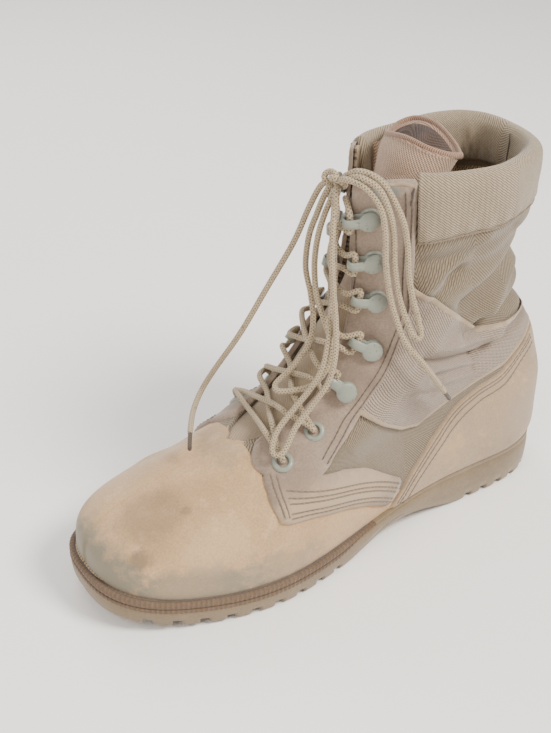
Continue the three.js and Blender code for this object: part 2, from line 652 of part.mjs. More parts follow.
const other = (side) => SIDES[1 - SIDES.indexOf(side)];
const KNOT = new THREE.Vector3(160.5, 10, 221);

// The lace from the upper eyelet of one side, from hook to hook, to the knot.
function laceRun(firstSide, low) {
  let side = firstSide;
  const points = [...leave(LACE_STATIONS[1], side)];
  for (let k = 1; k < LACE_STATIONS.length - 1; k += 1) {
    const [before, at] = reach(LACE_STATIONS[k + 1], other(side));
    const [, after] = leave(LACE_STATIONS[k + 1], other(side));
    const over = overTongue(LACE_STATIONS[k], side, LACE_STATIONS[k + 1], other(side), low);
    points.push(...over, before, at, after);
    side = other(side);
  }
  const end = KNOT.clone().add(new THREE.Vector3(-2, side.side * 5, -4));
  return laceTube([...points, end], 50);
}

const [outerSide, innerSide] = SIDES;
const bottomRun = (from, k, low, count) => laceTube([
  ...leave(LACE_STATIONS[0], from),
  ...overTongue(LACE_STATIONS[0], from, LACE_STATIONS[k], other(from), low),
  ...(k === 0 ? leave(LACE_STATIONS[0], other(from)).reverse() : reach(LACE_STATIONS[k], other(from))),
], count);
const laceCrossings = wasm.Manifold.union([
  bottomRun(outerSide, 0, 1.4, 9), bottomRun(outerSide, 1, 1.2, 9), bottomRun(innerSide, 1, 4.4, 9),
  laceRun(outerSide, 1.2), laceRun(innerSide, 4.4),
]);

// Knot, ends and loops: name, steps, then points along it.
const LACE_CORDS = [
  ['lace_knot', 8, [
    [156.8, 2.5, 225.5], [159.4, 6, 222], [159.4, 11, 220.5], [156.8, 15, 222.5], [153.5, 12.5, 226.5],
    [153.5, 8, 227.5],
  ]],
  ['lace_end_1', 16, [
    [162.5, 0, 217.5], [166.5, -3, 204], [173, -7, 185], [186, -11, 160], [198, -18, 132],
    [207, -28, 108], [213, -33, 93], [222, -27, 86], [232, -13, 85], [241, 2, 82],
  ]],
  ['lace_end_2', 14, [
    [161.5, 21, 226], [157, 30, 225], [151.5, 35.5, 217], [148.5, 37, 203], [146.5, 37, 186],
    [142.5, 37.5, 167], [139, 41, 152], [135.5, 46, 140], [127, 51, 128], [112, 49.5, 108.5],
    [98, 44.5, 91],
  ]],
  ['lace_loop_1', 22, [
    [162, 4, 214.5], [164, 0, 202], [165.5, -4, 188], [166, -5, 170], [165.5, 0, 156], [168, 7, 145],
    [171.5, 10, 134], [177, 9, 124], [184, 6.5, 115], [190, 6, 110], [191.5, 11, 109],
    [186, 17, 111], [178, 22, 114], [173, 25, 121], [168.5, 24.5, 129], [167, 22, 139],
    [167.5, 16, 149], [168, 9, 160], [167.5, 5, 176], [167, 6, 192], [166, 9, 205], [163, 10.5, 215],
  ]],
  ['lace_loop_2', 16, [
    [164.5, 17, 217], [165, 18, 206], [164.5, 17, 190], [163, 17, 171], [166.5, 20.5, 156],
    [172, 27, 141], [177, 29.5, 128], [183, 27.5, 116], [193, 25, 103], [202, 26, 94],
    [207, 31, 87], [203, 34.5, 87.5], [193, 31.5, 99], [183, 32.5, 111], [175.5, 34.5, 124],
    [171, 32.5, 139], [165.5, 26.5, 152],
  ]],
  ['lace_loop_3', 12, [
    [153, 33.5, 226.5], [148, 37.5, 216], [143.5, 37.5, 202], [141.5, 38, 184], [138, 39.5, 166],
    [134.5, 43, 152], [131, 46.5, 143], [127.5, 46.5, 143.5], [129, 43, 153], [132.5, 40.5, 166],
    [136, 38.5, 180],
  ]],
];
const laceCords = LACE_CORDS.map(([name, count, points]) => ({
  name, solid: laceTube(points.map(([x, y, z]) => new THREE.Vector3(x, y, z)), count),
}));

// ---------------------------------------------------------------- the boot
const MATERIALS = {
  rubber: ['#a08a68', 0.85, 0],
  weltStrip: ['#7d6145', 0.8, 0],
  footbed: ['#6b5d4c', 0.9, 0],
  suede: ['#c3a886', 0.95, 0],
  roughSuede: ['#b7a592', 0.95, 0],
  nylon: ['#b9a98c', 0.9, 0],
  mesh: ['#8f7668', 0.9, 0],
  webbing: ['#bfae9f', 0.9, 0],
  hookPaint: ['#a5aa9f', 0.5, 0.2],
  lace: ['#b99f83', 0.9, 0],
};

const PIECES = [
  { name: 'outsole', solid: outsole, of: 'rubber' },
  { name: 'welt', solid: welt, of: 'weltStrip' },
  { name: 'insole', solid: insole, of: 'footbed' },
  { name: 'upper', solid: upper, of: 'suede' },
  { name: 'tongue', solid: tongue, of: 'mesh' },
  { name: 'collar', solid: collar, of: 'nylon' },
  { name: 'heel_counter', solid: counter, of: 'roughSuede' },
  { name: 'quarter_outer', solid: quarterOuter.subtract(holes), of: 'roughSuede' },
  { name: 'quarter_inner', solid: quarterInner.subtract(holes), of: 'roughSuede' },
  { name: 'ankle_strap', solid: strap, of: 'webbing' },
  ...hardware.map(({ name, solid }) => ({ name, solid, of: 'hookPaint' })),
  { name: 'lace_crossings', solid: laceCrossings, of: 'lace' },
  ...laceCords.map(({ name, solid }) => ({ name, solid, of: 'lace' })),
];

const boot = new THREE.Group();
boot.name = 'combat_boot';
boot.position.set(-HEEL_FLAT_X, 0, 0);
PIECES.forEach(({ name, solid, of }) => {
  const [color, roughness, metalness] = MATERIALS[of];
  const material = new THREE.MeshStandardMaterial({ color, roughness, metalness });
  const mesh = new THREE.Mesh(toGeometry(solid), material);
  mesh.name = name;
  boot.add(mesh);
});

const group = new THREE.Group();
group.name = 'boot_left';
group.add(boot);

export default group;
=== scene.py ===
"""Combat boot for the left foot, hot-weather desert kind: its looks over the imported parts.

Forms are drawn in millimetres, +X to the toe from the back of the heel, +Y to the outer side, +Z up,
and placed in metres with the origin in the middle of the heel's flat spot.
"""
import math

import bpy
import numpy as np
from mathutils import Matrix, Vector


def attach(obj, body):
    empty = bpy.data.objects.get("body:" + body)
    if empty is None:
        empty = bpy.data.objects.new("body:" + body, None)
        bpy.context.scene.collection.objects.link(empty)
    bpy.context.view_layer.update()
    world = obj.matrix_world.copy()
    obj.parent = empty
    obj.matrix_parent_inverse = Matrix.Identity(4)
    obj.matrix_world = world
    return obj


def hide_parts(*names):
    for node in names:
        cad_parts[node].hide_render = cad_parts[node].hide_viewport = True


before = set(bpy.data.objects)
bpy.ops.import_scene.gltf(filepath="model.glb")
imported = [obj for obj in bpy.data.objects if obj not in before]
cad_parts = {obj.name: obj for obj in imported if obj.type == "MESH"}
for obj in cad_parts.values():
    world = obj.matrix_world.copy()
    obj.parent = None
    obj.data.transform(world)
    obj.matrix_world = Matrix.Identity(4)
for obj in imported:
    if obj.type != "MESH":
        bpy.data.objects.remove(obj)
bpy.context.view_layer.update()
scene = bpy.context.scene

# ---------------------------------------------------------------- sizes
LENGTH = 306.0
BALL_WIDTH = 110.0
COLLAR_HEIGHT = 228.0
HEEL_HEIGHT = 27.6
FORE_HEIGHT = 17.4
TOE_SPRING = 9.7
ARCH_RISE = 9.0
HEEL_FLAT_X = 38.0
WAIST_X, WAIST_HALF = 118.0, 50.0
HEEL_BREAST_X = 125.0
SPRING_X = 225.0
WALL = 2.2
RIM = 13
ROW_LENGTH = 14.0
SIDES = {1: "outer", -1: "inner"}


def unit(v):
    """Vectors brought to length 1."""
    return v / (np.linalg.norm(v, axis=-1, keepdims=True) + 1e-9)


def travel(p, axis=0):
    """Length travelled along a line of points, or along one axis of a grid of them, from 0."""
    steps = np.linalg.norm(np.diff(np.asarray(p, float), axis=axis), axis=-1)
    return np.insert(np.cumsum(steps, axis), 0, 0, axis)


# ---------------------------------------------------------------- camera
camera = bpy.data.objects.new("camera", bpy.data.cameras.new("camera"))
scene.collection.objects.link(camera)
scene.camera = camera


def aim(position, azimuth, elevation, roll):
    """Camera matrix: back = (sin a cos e, -cos a cos e, sin e), then rolled about its own axis."""
    a, e, r = np.radians([azimuth, elevation, roll])
    back = np.array([np.sin(a) * np.cos(e), -np.cos(a) * np.cos(e), np.sin(e)])
    right = unit(np.cross([0, 0, 1], back))
    up = np.cross(back, right)
    right, up = np.cos(r) * right + np.sin(r) * up, np.cos(r) * up - np.sin(r) * right
    m = np.eye(4)
    m[:3, 0], m[:3, 1], m[:3, 2], m[:3, 3] = right, up, back, position
    return Matrix(m.tolist())


camera.matrix_world = aim((0.43633, 0.4355, 0.45072), 146.53, 32.597, 1.744)
camera.data.sensor_fit = "VERTICAL"
camera.data.sensor_height = 24.0
camera.data.lens = 37.56507503
camera.data.clip_start = 0.01

# ---------------------------------------------------------------- the last
# Rings from the feather line to the collar, in per cent of LENGTH, COLLAR_HEIGHT and half BALL_WIDTH.
RING_COLUMNS = (
    "backX backZ frontX frontZ oHeel oWaist oBall oToe iHeel iWaist iBall iToe"
    " back backPow front frontPow backY frontY"
).split()
RINGS = np.array([
    [1.6, 12.3, 98.7, 11.0, 56.4, 69.1, 98.2, 89.1, 65.5, 52.7, 85.5, 81.8, 17, 2.4, 24, 2.5, 7.3, -7.3],
    [0.3, 18.4, 98.9, 15.8, 58.2, 69.1, 100, 90.9, 67.3, 54.5, 89.1, 83.6, 17, 2.4, 25, 2.5, 7.3, -7.3],
    [0.0, 24.1, 98.4, 20.8, 58.2, 67.3, 98.2, 90, 65.5, 56.4, 85.5, 81.8, 18, 2.3, 27, 2.4, 7.3, -7.3],
    [-0.3, 30.3, 94.9, 23.7, 54.5, 63.6, 90.9, 77.3, 61.8, 58.2, 73.6, 62.7, 19, 2.2, 30, 2.3, 7.3, -7.3],
    [0.7, 36.8, 89.9, 26.5, 50.9, 61.8, 85.5, 66.4, 56.4, 58.2, 64.5, 52.7, 20, 2.1, 36, 2.2, 5.5, -7.3],
    [2.6, 43.4, 83, 30, 49.1, 61.8, 80, 62.7, 52.7, 60, 60.9, 50, 21, 2.1, 42, 2.1, 5.5, -5.5],
    [5.4, 49.6, 74.8, 33.1, 47.3, 63.6, 74.5, 60, 50.9, 61.8, 56.4, 50.9, 22, 2.1, 45, 2.1, 5.5, -3.6],
    [8.7, 55.7, 67, 37.3, 49.1, 65.5, 70.9, 54.5, 50.9, 63.6, 56.4, 47.3, 23, 2.1, 45, 2.1, 3.6, 0],
    [11.1, 61.8, 60.1, 44.3, 50.9, 67.3, 69.1, 54.5, 52.7, 65.5, 60, 49.1, 24, 2.1, 42, 2.2, 3.6, 3.6],
    [12.4, 68, 54.9, 52.6, 54.5, 69.1, 65.5, 50.9, 56.4, 67.3, 61.8, 50.9, 26, 2.1, 38, 2.2, 3.6, 7.3],
    [11.3, 74.6, 51.3, 61.8, 58.2, 70.9, 61.8, 47.3, 60, 67.3, 61.8, 49.1, 28, 2.2, 35, 2.2, 3.6, 12.7],
    [10.3, 82, 49.7, 71.5, 61.8, 70.9, 58.2, 41.8, 61.8, 67.3, 61.8, 49.1, 30, 2.3, 35, 2.2, 3.6, 18.2],
    [11.4, 90.8, 50, 83.3, 65.5, 72.7, 56.4, 36.4, 63.6, 67.3, 63.6, 50.9, 30, 2.4, 35, 2.2, 3.6, 23.6],
    [12.4, 100, 51.3, 99.1, 69.1, 74.5, 56.4, 32.7, 65.5, 69.1, 65.5, 50.9, 30, 2.5, 35, 2.2, 5.5, 27.3],
])
OUTSOLE = np.array([0, 0, 100, 0, 60, 73.6, 103.6, 93.6, 70, 57.3, 90.9, 86.4, 17, 2.45, 26, 2.65, 7.8, -6.9])
STATIONS = np.array([0, 0.14, 0.42, 0.7, 0.88, 1])


def smooth(t):
    """3t² - 2t³, held at 0 and 1 outside."""
    t = np.clip(t, 0, 1)
    return t * t * (3 - 2 * t)


def mix(a, b, t):
    return a + (b - a) * t


def bisect(low, high, is_low, steps=30):
    """Where is_low turns from true to false between low and high."""
    for _ in range(steps):
        middle = (low + high) / 2
        under = is_low(middle)
        low, high = np.where(under, middle, low), np.where(under, high, middle)
    return low


def cubic(y1, y2, m1, m2, f):
    """Cubic from y1 to y2 with end slopes m1 and m2."""
    g, h = f * f, f * f * f
    return (2 * h - 3 * g + 1) * y1 + (h - 2 * g + f) * m1 + (3 * g - 2 * h) * y2 + (h - g) * m2


def along(rows, t):
    """Rows of a table at fractional places t: smooth between rows, straight beyond the ends."""
    t = np.asarray(t, float)
    last_row = len(rows) - 1
    i = np.clip(np.floor(t).astype(int), 0, last_row - 1)
    pick = [rows[np.clip(i + k, 0, last_row)] for k in (-1, 0, 1, 2)]
    f = (t - i)[..., None]
    inside = cubic(pick[1], pick[2], (pick[2] - pick[0]) / 2, (pick[3] - pick[1]) / 2, np.clip(f, 0, 1))
    return inside + (f - np.clip(f, 0, 1)) * (pick[2] - pick[1])


def through(xs, ys, x):
    """Smooth curve through (xs, ys[..., k]), level at both ends."""
    d = np.diff(xs)
    slope = np.diff(ys, axis=-1) / d
    tangent = np.zeros_like(ys)
    tangent[..., 1:-1] = (slope[..., :-1] * d[1:] + slope[..., 1:] * d[:-1]) / (d[1:] + d[:-1])
    i = np.clip(np.searchsorted(xs, x, side="right") - 1, 0, len(xs) - 2)
    take = lambda a, k: np.take_along_axis(a, k[..., None], -1)[..., 0]
    step = d[i]
    return cubic(take(ys, i), take(ys, i + 1), step * take(tangent, i), step * take(tangent, i + 1),
                 (x - xs[i]) / step)


def rise(x):
    return TOE_SPRING * np.clip((x - SPRING_X) / (LENGTH - SPRING_X), 0, 1) ** 2


def sole_top(x):
    """Top of the outsole: low at the ball, high behind the waist, and the toe's spring."""
    return FORE_HEIGHT + (HEEL_HEIGHT - FORE_HEIGHT) / (1 + np.exp((x - HEEL_BREAST_X) / 16)) + rise(x)


def sole_bottom(x):
    """Underside: flat at heel and ball, (1 - s²)² hollow at the waist, rounded up behind."""
    s = np.clip(np.abs(x - WAIST_X) / WAIST_HALF, 0, 1)
    return rise(x) + ARCH_RISE * (1 - s * s) ** 2 + 7 * np.clip((14 - x) / 14, 0, 1) ** 2


def ring_point(ring, angle):
    """Point of a ring: u = (1 - cos a)/2 forward, half width times (1 - c^p)^(1/p) at both ends."""
    column = lambda name: ring[..., RING_COLUMNS.index(name)]
    u = (1 - np.cos(angle)) / 2
    outer = np.sin(angle) >= 0
    parts_of_foot = "Heel Heel Waist Ball Toe Toe".split()
    w = [np.where(outer, column("o" + k), column("i" + k)) for k in parts_of_foot]
    a = np.clip(1 - u / (column("back") / 100), 0, 1)
    b = np.clip(1 - (1 - u) / (column("front") / 100), 0, 1)
    p, q = column("backPow"), column("frontPow")
    ends = np.clip(1 - a ** p, 0, 1) ** (1 / p) * np.clip(1 - b ** q, 0, 1) ** (1 / q)
    u_full = u + 0 * w[0]
    half = through(STATIONS, np.stack(w, -1), u_full) * ends * np.where(outer, 1, -1)
    x = mix(column("backX"), column("frontX"), u) / 100 * LENGTH
    y = (mix(column("backY"), column("frontY"), u) + half) / 100 * BALL_WIDTH / 2
    z = mix(column("backZ"), column("frontZ"), u) / 100 * COLLAR_HEIGHT
    return np.stack([x, y, z], -1)


def last(angle, row):
    """Point of the last: 0 is the back, 90° the outer side, 180° the ridge of toe and shaft."""
    angle, row = np.broadcast_arrays(np.asarray(angle, float), np.asarray(row, float))
    p = ring_point(along(RINGS, row), angle)
    fade = np.clip(1 - row / 3, 0, 1) ** 1.5
    p[..., 2] = mix(p[..., 2], sole_top(p[..., 0]), fade)
    return p


def normal(angle, row):
    """Outward direction of the last, from four neighbours."""
    h = 0.02
    over = last(angle + h, row) - last(angle - h, row)
    up = last(angle, row + h) - last(angle, np.maximum(row - h, 0))
    return unit(np.cross(up, over))


# ---------------------------------------------------------------- creases
# Soft troughs and ridges in side view: from x z to x z, width, depth out (+) or in (-).
CREASES = np.array([
    # shaft, from the rear top down to the front
    [40, 168, 92, 148, 6, -3.0],
    [38, 180, 104, 168, 6, -2.2],
    [44, 156, 86, 134, 5, 2.4],
    [60, 186, 122, 178, 5, -1.8],
    [88, 190, 124, 156, 5, 1.5],
    [100, 172, 124, 150, 4, -1.6],
    # ankle fold over the strap
    [32, 146, 70, 136, 6, 3.2],
    [34, 134, 84, 126, 5, -2.6],
    [30, 122, 60, 116, 5, 1.8],
    [84, 140, 140, 108, 7, -1.4],
    # strap wrinkles
    [118, 119, 72, 106, 2.6, -2.3],
    [72, 106, 22, 113, 2.6, -2.4],
    [112, 127, 56, 115, 4, 1.5],
    [106, 105, 72, 97, 2.2, -1.8],
    [96, 98, 60, 93, 3.4, 1.2],
    [128, 100, 104, 92, 2.6, -1.4],
    # quarter and instep
    [150, 150, 130, 128, 7, -1.6],
    [158, 128, 136, 112, 6, 1.2],
    [150, 108, 118, 88, 7, -1.5],
    [176, 84, 150, 66, 8, -1.2],
    [206, 74, 196, 48, 9, -1.0],
    # vamp flex
    [238, 70, 214, 40, 9, -1.2],
    [252, 62, 236, 34, 8, 0.8],
    # counter
    [26, 86, 60, 70, 7, -1.0],
    [96, 56, 122, 34, 8, 1.0],
])


def relief(p):
    """Creases: each is depth · exp(-(d / width)²) of the distance d to its line in side view."""
    q = p[..., None, [0, 2]]
    a, b = CREASES[:, 0:2], CREASES[:, 2:4]
    t = np.sum((q - a) * (b - a), -1) / np.sum((b - a) ** 2, -1)
    near = a + np.clip(t, 0, 1)[..., None] * (b - a)
    d = np.linalg.norm(q - near, axis=-1)
    folds = np.sum(CREASES[:, 5] * np.exp(-(d / CREASES[:, 4]) ** 2), -1)
    x, y, z = p[..., 0], p[..., 1], p[..., 2]
    slack = 0.5 * np.sin(x / 9.1 + z / 13.3 + y / 17) * np.sin(z / 8.3 - x / 21)
    loose = smooth((z - 95) / 20) * smooth((135 - x) / 20)
    return folds * (1 + 0.8 * loose) + slack * smooth((z - 90) / 50)


def skin(angle, row, out):
    """The last moved out by a distance, creases included."""
    p = last(angle, row)
    return p + normal(angle, row) * (np.asarray(out, float) + relief(p))[..., None]


def side_view(x, z, side):
    """Angle and row of the last's point at x and z, seen from its outer (1) or inner (-1) side."""
    x, z = np.asarray(x, float), np.asarray(z, float)

    def angle_at(row):
        ring = along(RINGS, row)
        back, front = ring[..., 0] / 100 * LENGTH, ring[..., 2] / 100 * LENGTH
        return side * np.arccos(np.clip(1 - 2 * (x - back) / (front - back), -1, 1))

    row = bisect(0 * x, 0 * x + RIM + 0.6, lambda row: last(angle_at(row), row)[..., 2] < z, 34)
    return angle_at(row), row


# Throat: rows up the ridge and its half widths to the outer and the inner side.
THROAT = np.array([
    [6.55, 2, 2], [6.62, 8, 8], [6.8, 13, 12], [7.2, 18, 16], [8, 20, 18], [9, 19.5, 18], [10, 18.5, 17],
    [11, 17, 16], [12, 16.5, 16], [13, 20, 19], [14, 22, 21],
])


def throat_angle(row, side):
    """Angle of the throat's edge on a row, where |y| is the throat's half width."""
    row = np.asarray(row, float)
    half = np.interp(row, THROAT[:, 0], THROAT[:, 1 if side > 0 else 2], left=0)
    angle = bisect(0 * row + math.pi / 2, 0 * row + math.pi,
                   lambda angle: last(side * angle, row)[..., 1] * side > half)
    return np.where(row < THROAT[0, 0], math.pi, angle) * side


# ---------------------------------------------------------------- meshes
def place(p):
    """Drawing millimetres to metres in the part's frame."""
    return (np.asarray(p, float) - [HEEL_FLAT_X, 0, 0]) / 1000


def make_mesh(name, verts, faces, material, uv=None, attributes=()):
    """Object from arrays: verts (n, 3) in millimetres, faces (m, 3 or 4), uv (n, 2) in millimetres."""
    mesh = bpy.data.meshes.new(name)
    verts = place(verts)
    faces = np.asarray(faces, np.int32)
    mesh.vertices.add(len(verts))
    mesh.vertices.foreach_set("co", verts.astype(np.float32).ravel())
    mesh.loops.add(faces.size)
    mesh.loops.foreach_set("vertex_index", faces.ravel())
    mesh.polygons.add(len(faces))
    mesh.polygons.foreach_set("loop_start", np.arange(0, faces.size, faces.shape[1], dtype=np.int32))
    mesh.update(calc_edges=True)
    if uv is not None:
        layer = mesh.uv_layers.new(name="millimetres")
        layer.data.foreach_set("uv", np.asarray(uv, np.float32)[faces.ravel()].ravel())
    for key, values in attributes:
        layer = mesh.attributes.new(key, "FLOAT", "POINT")
        layer.data.foreach_set("value", np.asarray(values, np.float32).ravel())
    mesh.polygons.foreach_set("use_smooth", np.full(len(faces), True))
    mesh.validate()
    obj = bpy.data.objects.new(name, mesh)
    scene.collection.objects.link(obj)
    mesh.materials.append(material)
    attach(obj, "root")
    return obj


def grid_faces(m, n, wrap_m=False, wrap_n=False):
    """Quads of an m by n grid of points."""
    j, i = np.indices((m if wrap_m else m - 1, n if wrap_n else n - 1))
    a, b = j * n + i, ((j + 1) % m) * n + i
    c, d = ((j + 1) % m) * n + (i + 1) % n, j * n + (i + 1) % n
    return np.stack([a, b, c, d], -1).reshape(-1, 4)


def arc_uv(p):
    """Lengths along the rows from the middle column, and up the columns, of a grid of points."""
    u = travel(p, 1)
    return np.stack([u - u[:, p.shape[1] // 2][:, None], travel(p)], -1).reshape(-1, 2)


def closed_ends(p):
    """Rings of points with a ring shrunk to their middle added at both ends."""
    first, final = (np.broadcast_to(p[k].mean(0), (1,) + p[k].shape) for k in (0, -1))
    return np.concatenate([first, p, final])


def grid_object(name, p, material, wrap_m=False, wrap_n=False, uv=None, attributes=()):
    uv = arc_uv(p) if uv is None else uv
    return make_mesh(name, p.reshape(-1, 3), grid_faces(p.shape[0], p.shape[1], wrap_m, wrap_n),
                     material, uv, attributes)


# ---------------------------------------------------------------- shader groups
class Value:
    """A node's output. Arithmetic on it adds Math nodes to its tree."""

    def __init__(self, socket):
        self.socket, self.tree = socket, socket.id_data

    def calc(self, operation, b=0.0, c=0.0):
        return add(self.tree, "Math", {0: self, 1: b, 2: c}, operation=operation)

    def __add__(self, other):
        return self.calc("ADD", other)

    def __sub__(self, other):
        return self.calc("SUBTRACT", other)

    def __mul__(self, other):
        return self.calc("MULTIPLY", other)


def link_in(tree, n, inputs):
    for key, value in inputs.items():
        if isinstance(value, Value):
            tree.links.new(value.socket, n.inputs[key])
        else:
            n.inputs[key].default_value = value


def add(tree, kind, inputs=None, out=0, **settings):
    """Adds a node with its settings, and its inputs set or linked. Returns one of its outputs."""
    n = tree.nodes.new("ShaderNode" + kind)
    for key, value in settings.items():
        setattr(n, key, value)
    link_in(tree, n, inputs or {})
    return Value(n.outputs[out])


def parts(vector):
    """The x, y and z of a vector."""
    return [Value(k) for k in add(vector.tree, "SeparateXYZ", {0: vector}).socket.node.outputs]


def blend(tree, factor, a, b, kind="MIX"):
    """Colour mix of a and b."""
    return add(tree, "Mix", {0: factor, 6: a, 7: b}, 2, data_type="RGBA", blend_type=kind)


def ramp(value, low, high, to_low=0.0, to_high=1.0):
    """Smooth step of value from low..high to to_low..to_high."""
    inputs = {0: value, 1: low, 2: high, 3: to_low, 4: to_high}
    return add(value.tree, "MapRange", inputs, interpolation_type="SMOOTHSTEP")


def noise(where, scale, detail=3.0, roughness=0.55):
    inputs = {"Vector": where, "Scale": scale, "Detail": detail, "Roughness": roughness}
    return add(where.tree, "TexNoise", inputs)


def object_place(tree):
    return add(tree, "TexCoord", out="Object")


def millimetres(tree):
    return add(tree, "UVMap", uv_map="millimetres")


def group(name, inputs, outputs):
    """Empty node group with named sockets. Returns its tree, its inputs and its output node."""
    tree = bpy.data.node_groups.new(name, "ShaderNodeTree")
    for way, sockets in (("INPUT", inputs), ("OUTPUT", outputs)):
        for key, kind in sockets.items():
            tree.interface.new_socket(key, in_out=way, socket_type="NodeSocket" + kind)
    given = {k.name: Value(k) for k in tree.nodes.new("NodeGroupInput").outputs if k.name}
    return tree, given, tree.nodes.new("NodeGroupOutput")


def use(tree, shared, **inputs):
    """Outputs by name of a shared group placed in a material's tree."""
    n = tree.nodes.new("ShaderNodeGroup")
    n.node_tree = shared
    link_in(tree, n, inputs)
    return {k.name: Value(k) for k in n.outputs}


def make_nap():
    """Nap: suede's large blotches, short fibres and rubbed pits, from object coordinates."""
    t, given, out = group("nap", {"Color": "Color", "Dark": "Color", "Light": "Color", "Blotch": "Float"},
                          {"Color": "Color", "Height": "Float"})
    where = object_place(t)
    large, middle, fine = noise(where, 22, 4, 0.6), noise(where, 110, 4, 0.65), noise(where, 900, 2, 0.7)
    color = blend(t, ramp(large, 0.42, 0.72) * given["Blotch"], given["Color"], given["Dark"])
    color = blend(t, ramp(middle, 0.52, 0.75) * given["Blotch"], color, given["Light"])
    grain = ramp(fine, 0.3, 0.7, 0.86, 1.08)
    color = blend(t, 1.0, color, add(t, "CombineColor", {0: grain, 1: grain, 2: grain}), "MULTIPLY")
    link_in(t, out, {"Color": color, "Height": fine * 0.35 + middle * 0.65})
    return t


def make_weave():
    """Weave: slanting threads of a pitch in millimetres, turned to and fro in columns where Column > 0."""
    t, given, out = group("weave", {"Vector": "Vector", "Pitch": "Float", "Slant": "Float", "Column": "Float",
                                    "Cross": "Float"}, {"Height": "Float"})
    u, v, _ = parts(given["Vector"])
    columns = given["Column"].calc("GREATER_THAN", 0.01)
    fold = u.calc("PINGPONG", given["Column"].calc("MAXIMUM", 0.001))
    across = fold * columns + u * given["Slant"] * (columns * -1 + 1)
    turn = given["Pitch"].calc("POWER", -1) * (2 * math.pi)
    thread, other = ((v + across) * turn).calc("SINE"), ((v - u * 1.6) * turn).calc("SINE")
    link_in(t, out, {"Height": (thread + other * given["Cross"]) * 0.35 + 0.5})
    return t


def make_spot():
    """Spot: a mask round a point, with an uneven edge. Centre and size are in metres."""
    t, given, out = group("spot", {"Centre": "Vector", "Size": "Vector", "Ragged": "Float",
                                   "Strength": "Float"}, {"Mask": "Float"})
    where = object_place(t)
    off = add(t, "VectorMath", {0: where, 1: given["Centre"]}, operation="SUBTRACT")
    off = add(t, "VectorMath", {0: off, 1: given["Size"]}, operation="DIVIDE")
    edge = add(t, "VectorMath", {0: off}, "Value", operation="LENGTH")
    edge += (noise(where, 130, 5, 0.7) - 0.5) * 2.0 * given["Ragged"]
    link_in(t, out, {"Mask": ramp(edge, 1.15, 0.55) * given["Strength"]})
    return t


NAP, WEAVE, SPOT = make_nap(), make_weave(), make_spot()


def new_material(name, sheen=0.0):
    material = bpy.data.materials.new(name)
    material.use_nodes = True
    tree = material.node_tree
    shader = tree.nodes["Principled BSDF"]
    link_in(tree, shader, {"Sheen Weight": sheen, "Sheen Roughness": 0.6, "Specular IOR Level": 0.25})
    return material, tree, shader


def finish_material(tree, shader, color, roughness, height, distance=0.0004, strength=0.6):
    bump = add(tree, "Bump", {"Height": height, "Strength": strength, "Distance": distance})
    link_in(tree, shader, {"Base Color": color, "Roughness": roughness, "Normal": bump})


def rgb(r, g, b):
    """Linear colour of an 8-bit one."""
    return tuple(((c / 255 + 0.055) / 1.055) ** 2.4 if c > 10 else c / 3294 for c in (r, g, b)) + (1.0,)


def stains_and_painted_shade(tree, color, spots):
    """Colour with spots of dirt and painted shade over it: centre (drawing mm), size (mm), colour, strength,
    ragged.
    """
    for centre, size, over, strength, ragged in spots:
        mask = use(tree, SPOT, Centre=tuple(place(centre)), Size=tuple(v / 1000 for v in size),
                   Ragged=ragged, Strength=strength)
        color = blend(tree, mask["Mask"], color, over)
    return color


def suede(name, color, dark, light, blotch=0.6, spots=(), bump=0.0004):
    material, tree, shader = new_material(name, sheen=0.25)
    nap = use(tree, NAP, Color=color, Dark=dark, Light=light, Blotch=blotch)
    finish_material(tree, shader, stains_and_painted_shade(tree, nap["Color"], spots), 0.95, nap["Height"], bump)
    return material


def woven(tree, color, dark, gap, blotch, **weave):
    """Colour and height of cloth on millimetre UVs, with painted shade darkening the gaps between its
    threads.
    """
    height = use(tree, WEAVE, Vector=millimetres(tree), **weave)["Height"]
    thread = use(tree, NAP, Color=color, Dark=dark, Light=color, Blotch=blotch)["Color"]
    # Painted shade: the thread colour darkened by the gap colour where the weave is low.
    return blend(tree, ramp(height, 0.2, 0.62), blend(tree, 1.0, thread, gap, "MULTIPLY"), thread), height


def cloth(name, color, dark, pitch, slant=1.0, column=0.0, cross=0.4, blotch=0.25, spots=()):
    """Woven material on millimetre UVs, with blotches of wear and painted shade between its threads."""
    material, tree, shader = new_material(name, sheen=0.2)
    color, height = woven(tree, color, dark, (0.38, 0.34, 0.30, 1), blotch,
                          Pitch=pitch, Slant=slant, Column=column, Cross=cross)
    finish_material(tree, shader, stains_and_painted_shade(tree, color, spots), 0.9, height)
    return material


SUEDE = rgb(184, 149, 108)
SUEDE_DARK = rgb(140, 108, 76)
SUEDE_LIGHT = rgb(212, 180, 142)
PANEL = rgb(146, 126, 108)
PANEL_DARK = rgb(118, 98, 82)
PANEL_LIGHT = rgb(168, 148, 130)
NYLON = rgb(136, 120, 98)
NYLON_DARK = rgb(110, 95, 74)
WEB = rgb(160, 142, 126)
THREAD = rgb(84, 70, 58)
THREAD_PALE = rgb(128, 108, 86)

# Grey is painted shade on the vamp; brown is dirt.
GREY_PAINTED_SHADE = rgb(112, 108, 92)
BROWN_DIRT = rgb(122, 98, 72)

# Vamp spots: brown dirt on the toe's top, grey painted shade on the toe's lower front, low on the outer side
# and at the throat's foot, and a faint lighter patch on the outer side.
VAMP_SPOTS = [
    ((270, 13, 57), (22, 17, 15), BROWN_DIRT, 0.5, 0.3),
    ((282, 26, 44), (11, 8, 6), BROWN_DIRT, 0.75, 0.5),
    ((256, 24, 64), (6, 4, 4), BROWN_DIRT, 0.6, 0.6),
    ((306, 4, 28), (28, 60, 28), GREY_PAINTED_SHADE, 0.85, 0.6),
    ((266, 46, 26), (54, 20, 18), GREY_PAINTED_SHADE, 0.6, 0.8),
    ((222, 56, 26), (40, 14, 15), GREY_PAINTED_SHADE, 0.4, 1.0),
    ((250, 44, 50), (24, 14, 16), SUEDE_LIGHT, 0.2, 0.9),
    ((222, 0, 80), (14, 22, 12), GREY_PAINTED_SHADE, 0.3, 0.9),
]


